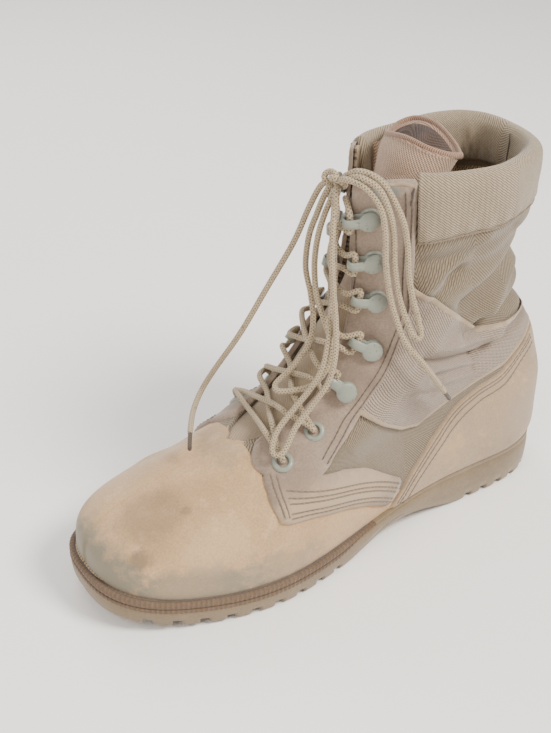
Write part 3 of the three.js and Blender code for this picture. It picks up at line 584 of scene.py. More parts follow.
def make_upper_material():
    """Vamp suede in front with its dirt and painted shade spots, diagonal-woven nylon behind with painted
    shade between its threads, by the mesh's nylon mask.
    """
    material, tree, shader = new_material("upper_suede_and_nylon", sheen=0.22)
    nap = use(tree, NAP, Color=SUEDE, Dark=SUEDE_DARK, Light=SUEDE_LIGHT, Blotch=0.38)
    nylon, threads = woven(tree, NYLON, NYLON_DARK, (0.36, 0.32, 0.28, 1), 0.3,
                           Pitch=1.55, Slant=-1.0, Column=34.0, Cross=0.55)
    mask = ramp(add(tree, "Attribute", out="Fac", attribute_name="nylon"), 0.45, 0.55)
    color = blend(tree, mask, stains_and_painted_shade(tree, nap["Color"], VAMP_SPOTS), nylon)
    height = add(tree, "Mix", {0: mask, 2: nap["Height"], 3: threads})
    finish_material(tree, shader, color, 0.93, height)
    return material


UPPER = make_upper_material()
LINING = cloth("lining", rgb(178, 154, 120), rgb(140, 116, 86), 2.2, cross=0.9)
QUARTER = suede("quarter_suede", PANEL, PANEL_DARK, PANEL_LIGHT, 0.6, [
    ((146, 31, 222), (9, 8, 5), rgb(96, 128, 128), 0.5, 0.6),
    ((128, 36, 214), (1.6, 4, 3.2), rgb(70, 50, 36), 0.8, 0.1),
    ((180, 48, 48), (60, 24, 24), rgb(176, 150, 118), 0.75, 0.4),
    ((150, 36, 120), (16, 12, 22), PANEL_DARK, 0.35, 0.8),
    ((196, 40, 72), (12, 12, 9), PANEL_DARK, 0.3, 0.7),
])
COUNTER = suede("counter_suede", rgb(156, 132, 104), rgb(128, 106, 82), rgb(178, 150, 112), 0.7, [
    ((84, 46, 48), (16, 12, 20), rgb(186, 150, 98), 0.5, 0.8),
    ((20, 40, 50), (30, 20, 20), PANEL, 0.5, 0.8),
])
STRAP = cloth("strap_webbing", WEB, rgb(140, 122, 108), 1.1, slant=-0.7, column=30.0, cross=0.5)
COLLAR = cloth("collar_nylon", rgb(162, 145, 120), rgb(134, 114, 88), 1.55, slant=0.5, column=60.0,
               cross=0.45)
MESH = cloth("tongue_mesh", rgb(192, 162, 136), rgb(156, 126, 102), 1.8, cross=1.0,
             spots=[((175, 0, 110), (62, 50, 66), rgb(144, 126, 100), 0.85, 0.2)])
BINDING = cloth("tongue_binding", rgb(168, 134, 110), rgb(134, 102, 84), 1.2, slant=0.2, cross=0.2)
# Lining inside the tongue's leaf, coloured dark as painted shade.
GATHERED_SHADE = cloth("gathered_lining_painted_shade", rgb(96, 74, 60), rgb(62, 46, 38), 1.6, cross=1.0, blotch=0.9)
EDGE = suede("cut_edge", rgb(152, 132, 108), rgb(150, 122, 92), rgb(202, 178, 146), 0.4)
RUBBER = suede("sole_rubber", rgb(122, 102, 74), rgb(100, 82, 58), rgb(136, 116, 86), 0.5,
               [((60, 0, 6), (120, 80, 5), rgb(128, 108, 82), 0.4, 0.5)], 0.0001)
FOOTBED = suede("footbed", rgb(120, 104, 84), rgb(90, 76, 60), rgb(140, 122, 100), 0.5)
SEAM = suede("seam_thread", THREAD, rgb(72, 60, 50), rgb(104, 88, 72), 0.3)
# Painted shade: dark strips under the stitch rows, standing for the grooves they sink into.
GROOVE_SHADE = suede("stitch_groove_painted_shade", rgb(112, 96, 80), rgb(92, 78, 64), rgb(128, 112, 94), 0.3)
SEAM_PALE = suede("seam_thread_pale", THREAD_PALE, rgb(108, 90, 70), rgb(148, 128, 104), 0.3)

# ---------------------------------------------------------------- upper
def make_upper():
    """Vamp and shaft from the throat's outer edge round the back to its inner one, and their lining."""
    rows = np.concatenate([np.linspace(0, 6.5, 80), np.linspace(6.56, 7.4, 12), np.linspace(7.5, 12.9, 70)])
    t = np.linspace(0, 1, 250)
    row, t = np.meshgrid(rows, t, indexing="ij")
    angle = mix(throat_angle(rows, 1)[:, None], throat_angle(rows, -1)[:, None], t)
    m, n = row.shape
    p = np.concatenate([skin(angle, row, 0.0), skin(angle, row, -WALL)[::-1]])
    faces = grid_faces(2 * m, n)
    j = np.arange(m - 1)
    out_id, in_id = lambda k, i: k * n + i, lambda k, i: (2 * m - 1 - k) * n + i
    edges = [np.stack([out_id(j, i), out_id(j + 1, i), in_id(j + 1, i), in_id(j, i)], -1)
             for i in (0, n - 1)]
    faces = np.concatenate([faces] + edges)
    x, z = p[..., 0], p[..., 2]
    nylon = np.clip(0.5 + (z - np.interp(x, [120, 190, 214, 216], [32, 58, 66, 200])) / 3, 0, 1)
    nylon *= np.clip(0.5 + (212 - x) / 3, 0, 1)
    around = arc_uv(last(angle, row)).reshape(m, n, 2)[..., 0]
    flat = np.stack([around, row * ROW_LENGTH], -1)
    uv = np.concatenate([flat, flat[::-1]]).reshape(-1, 2)
    obj = make_mesh("upper_skin", p.reshape(-1, 3), faces, UPPER, uv, [("nylon", nylon)])
    obj.data.materials.append(LINING)
    index = np.zeros(len(faces), np.int32)
    index[(m - 1) * (n - 1):(2 * m - 1) * (n - 1)] = 1
    obj.data.polygons.foreach_set("material_index", index)
    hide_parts("upper")


make_upper()


# ---------------------------------------------------------------- panels
def crown(d, round_off=1.1):
    """Height share of a panel at a distance from its edge: a quarter circle, then level."""
    return np.sqrt(np.clip(1 - (1 - np.clip(d / round_off, 0, 1)) ** 2, 0, 1))


def strip_stations(width_share, count):
    """Places across a strip, 0 to 1, close together at both edges."""
    near = np.array([0, 0.1, 0.3, 0.6, 1.0]) * width_share
    middle = np.linspace(1.6 * width_share, 1 - 1.6 * width_share, count)
    return np.concatenate([near, middle, 1 - near[::-1]])


def top_row(line, angle):
    """Row at each angle where the last reaches a side-view line of x and z."""
    def under(row):
        p = last(angle, row)
        return p[..., 2] < np.interp(p[..., 0], line[:, 0], line[:, 1])

    return bisect(0 * angle, 0 * angle + 12, under)


def band(name, angles, low_row, high_row, lift, thick, material, count=40, ends=True):
    """Strip round the last between two row lines, rounded at its edges."""
    s = strip_stations(0.025, count)
    row = mix(low_row[None, :], high_row[None, :], s[:, None])
    angle = np.broadcast_to(angles, row.shape)
    p0 = last(angle, row)
    from_low, from_end = travel(p0), travel(p0[len(s) // 2])
    d = np.minimum(from_low, from_low[-1] - from_low)
    if ends:
        d = np.minimum(d, np.minimum(from_end, from_end[-1] - from_end))
    uv = np.stack([angle * 56, row * ROW_LENGTH], -1).reshape(-1, 2)
    return grid_object(name, skin(angle, row, lift + thick * crown(d)), material, uv=uv)


# Counter: top edge in side view, x and z.
COUNTER_TOP = np.array([
    [-20, 102], [5, 102], [20, 99], [33, 92], [46, 84], [65, 80], [83, 73], [100, 59.5], [117, 41],
    [127, 27], [131, 19],
])


def make_counter():
    angles = np.radians(np.linspace(-81.5, 81.5, 230))
    high = np.maximum(top_row(COUNTER_TOP, angles), 0.05)
    obj = band("heel_counter_suede", angles, 0 * angles, high, -0.3, 2.4, COUNTER)
    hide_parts("heel_counter")


make_counter()

STRAP_LOW = np.array([[-20, 103], [5, 103], [19, 103], [33, 96.5], [45, 90.5], [67, 86.5], [90, 80.5],
                      [112, 73], [124.5, 76], [139, 86], [153.5, 97], [170, 108]])
STRAP_HIGH = np.array([[-20, 119], [15, 119], [32, 118.5], [49, 119], [74, 123.5], [103, 147], [116, 158],
                       [124, 163], [160, 190]])


def make_strap():
    angles = np.radians(np.linspace(-127, 127, 300))
    low = top_row(STRAP_LOW, angles)
    high = top_row(STRAP_HIGH, angles)
    obj = band("ankle_strap_webbing", angles, low, high, -0.2, 1.9, STRAP, ends=False)
    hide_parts("ankle_strap")
    for name, line in (("strap_low_edge", low), ("strap_high_edge", high)):
        s = np.linspace(-1, 1, 9)
        turn = s * math.pi / 2
        row = line[None, :] + 0.09 * np.sin(turn)[:, None]
        out = 1.4 + 0.75 * np.cos(turn)[:, None] + 0 * row
        grid_object(name, skin(angles, row, out), EDGE)


make_strap()


def inside_polygon(q, polygon):
    """Even-odd test of points q (n, 2)."""
    a, b = polygon, np.roll(polygon, -1, 0)
    crosses = (a[:, 1] > q[:, None, 1]) != (b[:, 1] > q[:, None, 1])
    with np.errstate(divide="ignore", invalid="ignore"):
        x = a[:, 0] + (q[:, None, 1] - a[:, 1]) * (b[:, 0] - a[:, 0]) / (b[:, 1] - a[:, 1])
    return np.sum(crosses & (q[:, None, 0] < x), 1) % 2 == 1


def nearest_on(q, polygon):
    """Nearest points of a closed polygon, and their distances."""
    a, b = polygon, np.roll(polygon, -1, 0)
    t = np.sum((q[:, None] - a) * (b - a), -1) / (np.sum((b - a) ** 2, -1) + 1e-12)
    near = a + np.clip(t, 0, 1)[..., None] * (b - a)
    d = np.linalg.norm(q[:, None] - near, axis=-1)
    k = np.argmin(d, 1)
    return near[np.arange(len(q)), k], d[np.arange(len(q)), k]


def densify(points, step):
    """Closed polyline with a point every step."""
    a = np.asarray(points, float)
    b = np.roll(a, -1, 0)
    runs = [p + (q - p) * np.arange(n)[:, None] / n
            for p, q, n in ((p, q, max(1, int(np.linalg.norm(q - p) / step))) for p, q in zip(a, b))]
    return np.concatenate(runs)


# Plane of angle and row in about millimetres, in which a quarter is cut out.
PLANE = np.array([62.0, ROW_LENGTH])
QUARTER_REAR = [
    (130, 227.5), (128.5, 210), (127, 193), (125.5, 165), (126, 150), (133, 130), (141, 115), (152, 100),
    (166, 85), (178, 75.5), (184, 71.5),
]
QUARTER_TAB = [
    (168, 69), (145, 57), (122.5, 41), (126, 33), (131, 25.5), (150, 35.5), (168, 43), (190, 49.5),
    (208, 52.2), (212.5, 54), (214, 60), (213.2, 67), (211.5, 73),
]
INNER_SET_BACK = 9.0


def quarter_outline(side):
    """Closed outline in the plane: rear edge down, tab round, throat's edge up."""
    shape = np.array(QUARTER_REAR + QUARTER_TAB, float)
    if side < 0:
        shape[:, 0] -= INNER_SET_BACK * smooth((shape[:, 1] - 80) / 70)
    angle, row = side_view(shape[:, 0], shape[:, 1], side)
    throat_rows = np.array([6.35, 6.6, 6.9, 7.3, 8, 9, 10, 11, 12, 12.6, 12.95])
    edge = np.abs(throat_angle(np.maximum(throat_rows, 6.9), side)) + 0.035
    edge[0] -= 0.07
    outline = np.concatenate([np.stack([np.abs(angle), row], -1), np.stack([edge, throat_rows], -1)])
    return densify(outline * PLANE, 1.0)


def cut_panel(name, outline, side, lift, thick, material, cell=1.15):
    """Panel cut from the last inside an outline, its border snapped to it and rounded, with a skirt."""
    low, high = outline.min(0) - cell, outline.max(0) + cell
    xs, ys = np.arange(low[0], high[0], cell), np.arange(low[1], high[1], cell)
    gy, gx = np.meshgrid(ys, xs, indexing="ij")
    q = np.stack([gx, gy], -1).reshape(-1, 2)
    keep = inside_polygon(q, outline)
    faces = grid_faces(len(ys), len(xs))
    faces = faces[keep[faces].all(1)]
    used, faces = np.unique(faces, return_inverse=True)
    faces = faces.reshape(-1, 4)
    q = q[used]
    edges = np.stack([faces, np.roll(faces, -1, 1)], -1).reshape(-1, 2)
    key = np.sort(edges, 1)
    _, first, count = np.unique(key[:, 0] * len(q) + key[:, 1], return_index=True, return_counts=True)
    border = edges[first[count == 1]]
    rim = np.unique(border)
    near, d = nearest_on(q, outline)
    q[rim], d[rim] = near[rim], 0.25
    out = lift + thick * crown(d, 1.3)
    angle, row = side * q[:, 0] / PLANE[0], q[:, 1] / PLANE[1]
    top = skin(angle, row, out)
    skirt = skin(angle[rim], row[rim], lift - 0.6)
    lookup = np.full(len(q), -1)
    lookup[rim] = len(q) + np.arange(len(rim))
    sides = np.stack([border[:, 1], border[:, 0], lookup[border[:, 0]], lookup[border[:, 1]]], -1)
    return make_mesh(name, np.concatenate([top, skirt]), np.concatenate([faces, sides]), material,
                     np.concatenate([q, q[rim]]))


for side, word in SIDES.items():
    obj = cut_panel("quarter_" + word + "_suede", quarter_outline(side), side, -0.2, 2.5, QUARTER)
    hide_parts("quarter_" + word)


# ---------------------------------------------------------------- stitches
def spline(points, count):
    """Smooth curve through points at even steps of its length."""
    points = np.asarray(points, float)
    dense = along(points, np.linspace(0, len(points) - 1, 40 * len(points)))
    length = travel(dense)
    at = np.linspace(0, length[-1], count)
    return np.stack([np.interp(at, length, dense[:, k]) for k in range(dense.shape[1])], -1)


def length_of(points):
    return float(travel(points)[-1])


def capsules(centres, ways, outs, long, thick):
    """Small rounded stitches: 6-sided, five sections each. Returns vertices and quads."""
    ways = unit(ways)
    sides = np.cross(ways, outs)
    t = np.array([-1, -0.75, 0, 0.75, 1])
    r = np.array([0.25, 0.85, 1, 0.85, 0.25])
    turn = np.arange(6) / 6 * 2 * math.pi
    offset = (
        t[:, None, None, None] * long / 2 * ways
        + r[:, None, None, None] * thick / 2 * (
            np.cos(turn)[:, None, None] * sides + np.sin(turn)[:, None, None] * outs)
    )
    verts = (centres + offset).transpose(2, 0, 1, 3).reshape(-1, 3)
    one = grid_faces(5, 6, wrap_n=True)
    faces = (one[None] + 30 * np.arange(len(centres))[:, None, None]).reshape(-1, 4)
    return verts, faces


def on_side(line, step, side, out):
    """Points every step of a side-view line of x and z, on the skin, and the ways out of it."""
    at = spline(line, max(3, int(length_of(line) / step)))
    if side < 0:
        at[:, 0] -= INNER_SET_BACK * smooth((at[:, 1] - 80) / 70)
    angle, row = side_view(at[:, 0], at[:, 1], side)
    return skin(angle, row, out), normal(angle, row)


def stitch_row(name, centres, outs, long, thick, material):
    """One row of stitches along a line."""
    v, f = capsules(centres, np.gradient(centres, axis=0), outs, long, thick)
    make_mesh(name, v, f, material)


def stitch_lines(name, lines, side, out, material, pitch=3.0, long=2.2, thick=0.62):
    """Stitches along side-view lines of x and z, each row over a dark strip of painted groove shade."""
    verts, faces, total = [], [], 0
    for k, line in enumerate(lines):
        groove("%s_groove_%d" % (name, k + 1), side, line, out - 0.12)
        centre, outward = on_side(line, pitch, side, out)
        v, f = capsules(centre, np.gradient(centre, axis=0), outward, long, thick)
        verts.append(v)
        faces.append(f + total)
        total += len(v)
    return make_mesh(name, np.concatenate(verts), np.concatenate(faces), material)


def groove(name, side, line, out):
    """Dark line under a row of stitches, along a side-view line: painted shade of the groove the stitches
    sink into.
    """
    centre, outward = on_side(line, 2, side, out)
    across = np.cross(unit(np.gradient(centre, axis=0)), outward)
    section = np.array([[-0.5, -0.3], [-0.3, 0.05], [0.3, 0.05], [0.5, -0.3]])
    p = centre[:, None] + across[:, None] * section[:, :1] + outward[:, None] * section[:, 1:]
    return grid_object(name, p, GROOVE_SHADE)


def shifted(line, d):
    """A side-view line moved by d to its left."""
    line = np.asarray(line, float)
    way = unit(np.gradient(line, axis=0))
    return line + d * np.stack([-way[:, 1], way[:, 0]], -1)


TAB_LOW = [(132.5, 27.5), (150, 36.5), (168, 44), (190, 50.5), (206, 53.2)]
FRONT_UP = [(212.3, 57), (212, 66), (210.5, 73)]
REAR = [(130, 221)] + QUARTER_REAR[1:-1]
THROAT_EDGE = [(155.5, 217), (152, 196), (150, 172), (150.5, 152)]
TACK = [(131.2, 222), (131.2, 219), (131.2, 216)]
ON_QUARTER, ON_COUNTER = 2.62, 2.42
for side, word in SIDES.items():
    rows = [(TAB_LOW, d) for d in (1.8, 4.2, 8.6, 11.0, 14.0)] + [(FRONT_UP, d) for d in (2.0, 4.6)]
    stitch_lines("quarter_" + word + "_rear_stitches", [shifted(REAR, d) for d in (1.8, 4.2)],
                 side, ON_QUARTER, SEAM)
    stitch_lines("tab_" + word + "_stitches", [shifted(line, d) for line, d in rows],
                 side, ON_QUARTER, SEAM_PALE)
    stitch_lines("throat_" + word + "_stitches", [THROAT_EDGE], side, ON_QUARTER, SEAM)
    stitch_lines("tack_" + word, [TACK], side, 2.5, SEAM, 4.0, 4.4, 1.5)
    stitch_lines("counter_" + word + "_stitches", [shifted(COUNTER_TOP[2:-1], d) for d in (-2.2, -4.8, -9.5)],
                 side, ON_COUNTER, SEAM_PALE)


# ---------------------------------------------------------------- collar
def collar_profile(count):
    """Closed section of the padded collar: row and distance out, round at the top, soft below."""
    points = np.array([
        [11.93, 0.6], [12.05, 2.2], [12.3, 3.1], [12.6, 3.2], [12.85, 2.4], [13.03, 0.2], [13.1, -3],
        [13.02, -6], [12.8, -7.9], [12.5, -8.6], [12.15, -8.6], [11.9, -7.6], [11.8, -5], [11.85, -1.5],
    ])
    t = np.linspace(0, len(points), count, endpoint=False)
    return along(np.concatenate([points, points[:2]]), t)


def make_collar():
    """Padded collar round the back from quarter to quarter, with puckers along its lower seam."""
    profile = collar_profile(56)
    angles = np.radians(np.linspace(-119, 123, 210))
    row, out = profile[None, :, 0], profile[None, :, 1]
    pucker = 0.5 * np.sin(angles * 34)[:, None] * np.exp(-((row - 12.1) / 0.16) ** 2)
    dents = 1.3 * np.exp(-((angles - 0.75) / 0.16) ** 2) + 1.0 * np.exp(-((angles + 0.5) / 0.12) ** 2)
    out = out + pucker - dents[:, None] * np.exp(-((row - 12.6) / 0.4) ** 2)
    sag = 0.42 * smooth(1.25 - np.abs(angles) / 1.5)
    row = row - sag[:, None] * smooth((12.9 - row) / 0.9) * smooth((out + 6) / 6)
    p = closed_ends(skin(angles[:, None], row, out))
    down = arc_uv(p)[:, 0]
    uv = np.stack([np.repeat(np.pad(angles, 1, mode="edge") * 50, len(profile)), down], -1)
    obj = grid_object("collar_padded", p, COLLAR, wrap_n=True, uv=uv)
    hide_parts("collar")
    seam = skin(angles, 11.93 - sag, 1.5)
    v, f = capsules(seam[::2], np.gradient(seam, axis=0)[::2], normal(angles, 11.93)[::2], 2.4, 0.8)
    make_mesh("collar_seam_stitches", v, f, SEAM_PALE)
    rows = np.linspace(11.95, 12.95, 16)
    back = skin(0.12, rows, -9.0)
    stitch_row("collar_back_seam", back, -normal(0.12, rows), 2.2, 0.9, SEAM)


make_collar()

# ---------------------------------------------------------------- tongue
LEAF = np.array([
    [111, -13, 111, -13], [118, -7, 103, -16], [121, 4, 96, -12], [121, 14, 93.5, -1], [118, 25, 93.5, 11],
    [109, 32.5, 96, 24], [100, 33, 100, 33],
], float)
TONGUE_TOP = 235.0
TONGUE_ROWS = np.array([
    [6.1, 26, 0], [6.7, 36, 0], [7.4, 46, 0], [8.2, 50, 0], [9, 51, 0], [9.8, 52, 0.04],
    [10.6, 52, 0.14], [11.4, 50, 0.36], [12.2, 46, 0.7], [12.8, 42, 0.93], [13.1, 40, 1],
])


def leaf(t, inset):
    """Leaf outline: t 0 to 1 near edge from the inner to the outer tip, 1 to 2 far edge back."""
    s = np.where(t <= 1, t, 2 - t)
    row = along(LEAF, s * (len(LEAF) - 1))
    near, far = row[..., :2], row[..., 2:]
    own = np.where((t <= 1)[..., None], near, far)
    middle = (near + far) / 2
    half = np.linalg.norm(own - middle, axis=-1, keepdims=True) + 1e-6
    inset = np.broadcast_to(inset, np.shape(t))[..., None]
    shrink = np.clip(inset / half, 0, 0.85)
    centre = np.array([106.0, 10.0])
    return mix(mix(own, middle, shrink), centre, np.clip(0.05 * inset, 0, 1))


def tongue_points(rows, t):
    """Flat pad inside the wall below, folding into the leaf at the top."""
    data = along(TONGUE_ROWS, rows)
    row, spread, share = data[..., 0], np.radians(data[..., 1]), np.clip(data[..., 2], 0, 1)
    s = np.where(t <= 1, t, 2 - t)
    angle = math.pi + spread * (1 - 2 * s)
    deep = np.where(t <= 1, 0.0, 3.0)
    deep = np.where((s < 1e-6) | (s > 1 - 1e-6), 1.5, deep)
    base = last(angle, row)
    flat = base - normal(angle, row) * (WALL + 0.6 + deep)[..., None]
    edge = leaf(t, 0.0)
    z = mix(flat[..., 2], TONGUE_TOP - 3 * np.cos(2 * math.pi * s), share ** 3)
    p = mix(flat, np.concatenate([edge, z[..., None]], -1), share[..., None])
    p[..., 2] = z
    ripple = 1.1 * np.sin(rows * 5.2 + 3 * s) * share * (1 - 0.6 * share)
    p[..., 0] += ripple
    return p


def make_tongue():
    t = np.linspace(0, 2, 96, endpoint=False)
    rows = np.linspace(0, len(TONGUE_ROWS) - 1, 90)
    g_rows, g_t = np.meshgrid(rows, t, indexing="ij")
    outside = tongue_points(g_rows, g_t)
    depth = np.array([0, 1, 2.5, 4.5, 7, 9.5, 11.5, 13, 13.6, 13.8])
    inset = np.array([1.6, 2.2, 2.8, 3.4, 4.2, 5.0, 5.6, 8, 14, 40])
    wrinkle = 0.9 * np.sin(7 * math.pi * t + 1.0)
    inner = []
    for d, k in zip(depth, inset):
        edge = leaf(t, k + wrinkle * min(d / 10, 1) * 0.7)
        z = outside[-1, :, 2] - d
        inner.append(np.stack([edge[:, 0] + d * 0.6, edge[:, 1], z], -1))
    p = np.concatenate([outside, np.array(inner)])
    obj = grid_object("tongue_folded", p, MESH, wrap_n=True)
    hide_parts("tongue")
    # Bound hem below the rim, and the gathered lining inside the leaf, coloured dark as painted shade.
    obj.data.materials.append(BINDING)
    obj.data.materials.append(GATHERED_SHADE)
    ring = np.repeat(np.arange(p.shape[0] - 1), 96)
    index = np.where(ring > 85, 1, 0)
    index[ring > 90] = 2
    obj.data.polygons.foreach_set("material_index", index.astype(np.int32))
    rim_t = np.linspace(0, 2, 140, endpoint=False)
    line = tongue_points(np.full_like(rim_t, len(TONGUE_ROWS) - 1.0), rim_t)
    inner_line = leaf(rim_t, 1.3)
    line = mix(line, np.concatenate([inner_line, line[:, 2:]], -1), 0.5) + [0, 0, 0.3]
    tube("tongue_bound_rim", line, 1.1, BINDING, closed=True, squash=1.8)


def tube(name, line, radius, material, closed=False, sides=12, squash=1.0):
    """Round tube along a line: sections of radius across the way, squashed up by a factor."""
    line = np.asarray(line, float)
    way = np.roll(line, -1, 0) - np.roll(line, 1, 0) if closed else np.gradient(line, axis=0)
    way = unit(way)
    across = unit(np.cross(way, [0, 0, 1.0]))
    up = np.cross(across, way)
    turn = np.arange(sides) / sides * 2 * math.pi
    p = line[:, None] + radius * (np.cos(turn)[None, :, None] * across[:, None]
                                  + squash * np.sin(turn)[None, :, None] * up[:, None])
    return grid_object(name, p, material, wrap_m=closed, wrap_n=True)


make_tongue()


def make_gusset(side):
    """Folded cloth from the shaft's inside to the tongue's edge, closing the gap beside the tongue."""
    rows = np.linspace(7.6, 12.85, 60)
    index = np.interp(rows, TONGUE_ROWS[:, 0], np.arange(len(TONGUE_ROWS)))
    outer = skin(throat_angle(rows, side) - side * 0.14, rows, -WALL - 0.4)
    inner = tongue_points(index, np.full_like(rows, 0.94 if side > 0 else 0.06))
    s = np.linspace(0, 1, 24)[None, :, None]
    p = mix(outer[:, None], inner[:, None], s)
    fold = np.sin(math.pi * s[..., 0]) * (3.0 + 1.2 * np.sin(rows * 4 + 2)[:, None])
    p[..., 0] -= fold
    p[..., 2] += 1.2 * np.sin(s[..., 0] * 9)
    return grid_object("tongue_gusset_" + SIDES[side], p, MESH)


make_gusset(1)
make_gusset(-1)


def make_bound_top(side):
    """Cream binding over a quarter's top edge, from the throat to the collar."""
    first = throat_angle(12.9, side)
    rear, _ = side_view(131.0 if side > 0 else 122.0, 222.0, side)
    angles = np.linspace(first - side * 0.05, rear, 40)
    line = skin(angles, 12.93 + 0.025 * np.sin(angles * 31), 1.2)
    tube("bound_top_" + SIDES[side], line, 1.25, EDGE)


make_bound_top(1)
make_bound_top(-1)


# ---------------------------------------------------------------- sole
def outline(angle, inset):
    """Plan of the outsole's edge, moved inwards."""
    h = 0.02
    p, a, b = (ring_point(OUTSOLE, angle + k) for k in (0, -h, h))
    way = unit((b - a) * [1, 1, 0])
    return np.stack([p[..., 0] + way[..., 1] * inset, p[..., 1] - way[..., 0] * inset], -1)


def slots(x):
    """1 in the gaps between the lugs, at their pitch under heel and forefoot, 0 on the lugs."""
    heel = (x > 12) & (x < 68)
    fore = (x > 166) & (x < 290)
    pitch = np.where(heel, 12.5, 14.25)
    phase = np.where(heel, x - 14, x - 172) / pitch
    off = np.abs(phase - np.round(phase)) * pitch
    return smooth((3.0 - off) / 1.0) * (heel | fore)


def make_sole():
    """Outsole: rings of its outline from the underside to the feather line, with lug gaps below."""
    angles = np.linspace(0, 2 * math.pi, 900, endpoint=False)
    levels = np.array([
        # inset, share of height, mm above that, share of the lug gap that shows
        [9, 0, 0.0, 1], [3.2, 0, 0.0, 1], [2.0, 0, 0.5, 1], [1.1, 0, 1.6, 1], [0.7, 0, 2.6, 1],
        [0.5, 0, 4.0, 0.75], [0.35, 0, 5.2, 0.0], [0.1, 0.36, 0, 0], [0, 0.52, 0, 0], [0.1, 0.68, 0, 0],
        [0.4, 0.80, 0, 0], [1.0, 0.83, 0, 0], [1.0, 0.85, 0, 0], [0.4, 0.88, 0, 0], [0.5, 0.95, 0, 0],
        [1.4, 1, -0.3, 0], [7, 1, -0.3, 0],
    ])
    rings = []
    for inset, share, above, gap in levels:
        xy = outline(angles, inset)
        x = xy[:, 0]
        low, high = sole_bottom(x), sole_top(x)
        z = mix(low, high, share) + above
        cut = slots(x) * gap
        z = np.maximum(z, low + 4.2 * cut)
        if share == 0 and above < 5:
            xy = outline(angles, inset + 2.2 * cut)
        rings.append(np.concatenate([xy, z[:, None]], -1))
    p = np.array(rings)
    uv = np.stack(np.broadcast_arrays(angles[None, :] * 130, (p[..., 2] - 10)), -1).reshape(-1, 2)
    obj = grid_object("outsole_rubber", p, RUBBER, wrap_n=True, uv=uv)
    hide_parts("outsole")
    # Underside and top as strips from each edge point to its mirror.
    for name, ring, lift in (("outsole_tread", p[0], 1), ("outsole_seat", p[-1], 0)):
        half = ring[:451]
        other = ring[(-np.arange(451)) % 900]
        t = np.linspace(0, 1, 41)[None, :, None]
        q = mix(half[:, None], other[:, None], t)
        x = q[..., 0]
        if lift:
            centre = np.abs(t[..., 0] - 0.5) * 2
            gaps = slots(x) * smooth((centre - 0.42) / 0.06)
            middle = smooth((0.05 - np.abs(centre - 0.36)) / 0.02) * (slots(x + 6) < 2)
            q[..., 2] = sole_bottom(x) + 3.6 * np.maximum(gaps, middle * (sole_bottom(x) < 3))
        grid_object(name, q, RUBBER)


make_sole()


TICK = 2.7


def make_welt():
    """Welt round the forefoot: two ribs on its edge, a groove on top, thinning at the waist."""
    angles = np.linspace(math.radians(86), math.radians(274), 620)
    base = outline(angles, 0.0)
    high = sole_top(base[:, 0])
    deep = 1.6 + 5.2 * smooth((base[:, 0] - 146) / 28)
    section = np.array([
        # inset, share of depth from the top
        [7, 1.0], [0.6, 1.0], [0.1, 0.92], [0.0, 0.75], [0.25, 0.60], [1.1, 0.56], [1.1, 0.52],
        [0.2, 0.48], [0.0, 0.34], [0.1, 0.16], [0.6, 0.03], [1.5, -0.02], [3.0, -0.02], [3.6, 0.10],
        [4.2, -0.02], [7, 0.0], [12, 0.02],
    ])
    length = travel(base)
    ticks = 0.10 * np.sin(length * 2 * math.pi / TICK)
    rings = []
    for inset, share in section:
        rib = ticks * (0.05 < share < 0.95) * (inset < 0.5)
        xy = outline(angles, inset - 0.35 - rib)
        rings.append(np.concatenate([xy, (high - 0.2 - share * deep)[:, None]], -1))
    p = np.array(rings)
    uv = np.stack(np.broadcast_arrays(length, section[:, 1:] * 10), -1).reshape(-1, 2)
    obj = grid_object("welt_strip", p, WELT, uv=uv)
    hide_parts("welt")
    xy = outline(angles[8:-8:2], 2.2)
    line = np.concatenate([xy, (sole_top(xy[:, 0]) + 0.1)[:, None]], -1)
    stitch_row("welt_stitches", line, line * 0 + [0, 0, 1.0], 3.0, 1.1, SEAM)


def make_welt_material():
    """Brown ribbed strip: a tick at each rib, and painted shade along the middle groove."""
    material, tree, shader = new_material("welt_brown", sheen=0.1)
    length, depth, _ = parts(millimetres(tree))
    tick = (length * (2 * math.pi / TICK)).calc("SINE")
    # Painted shade along the welt's middle groove.
    middle = ramp((depth - 5.4).calc("ABSOLUTE"), 1.1, 0.3)
    nap = use(tree, NAP, Color=rgb(104, 84, 66), Dark=rgb(84, 66, 52), Light=rgb(122, 100, 80), Blotch=0.5)
    dark = middle.calc("MAXIMUM", ramp(tick, 0.2, 0.9) * 0.35)
    color = blend(tree, dark, nap["Color"], rgb(84, 62, 44))
    finish_material(tree, shader, color, 0.85, tick + nap["Height"], 0.0002)
    return material


WELT = make_welt_material()
make_welt()

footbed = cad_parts["insole"]
footbed.data.materials.clear()
footbed.data.materials.append(FOOTBED)

# ---------------------------------------------------------------- lace hardware
# Centres of eyelets and hooks in side view, outer side and inner side.
HOOKS = {
    "eyelet_1": ((200, 77), (191, 79)), "eyelet_2": ((178.6, 88), (171, 91)),
    "hook_1": ((159.6, 108.8), (153, 110)), "hook_2": ((145.3, 131.5), (137, 132)),
    "hook_3": ((143, 159.2), (131, 159)), "hook_4": ((146, 182.8), (131, 182)),
    "hook_5": ((150, 207), (134, 206)),
}


def make_paint():
    """Grey-green satin paint, chipped to dull metal in places."""
    material, tree, shader = new_material("hook_paint")
    link_in(tree, shader, {"Coat Weight": 0.15, "Specular IOR Level": 0.5})
    where = object_place(tree)
    worn = ramp(noise(where, 420, 4, 0.7), 0.58, 0.68)
    color = blend(tree, worn, rgb(132, 134, 120), rgb(106, 102, 88))
    finish_material(tree, shader, color, 0.42, noise(where, 700), 0.0001, 0.3)
    return material


PAINT = make_paint()


def seat(side, x, z):
    """Origin and axes on a quarter: towards the throat, up, and out."""
    angle, row = side_view(x, z, side)
    out = normal(angle, row)
    up = unit(last(angle, row + 0.1) - last(angle, row - 0.1))
    return skin(angle, row, 2.35), np.array([np.cross(out, up) * side, up, out])


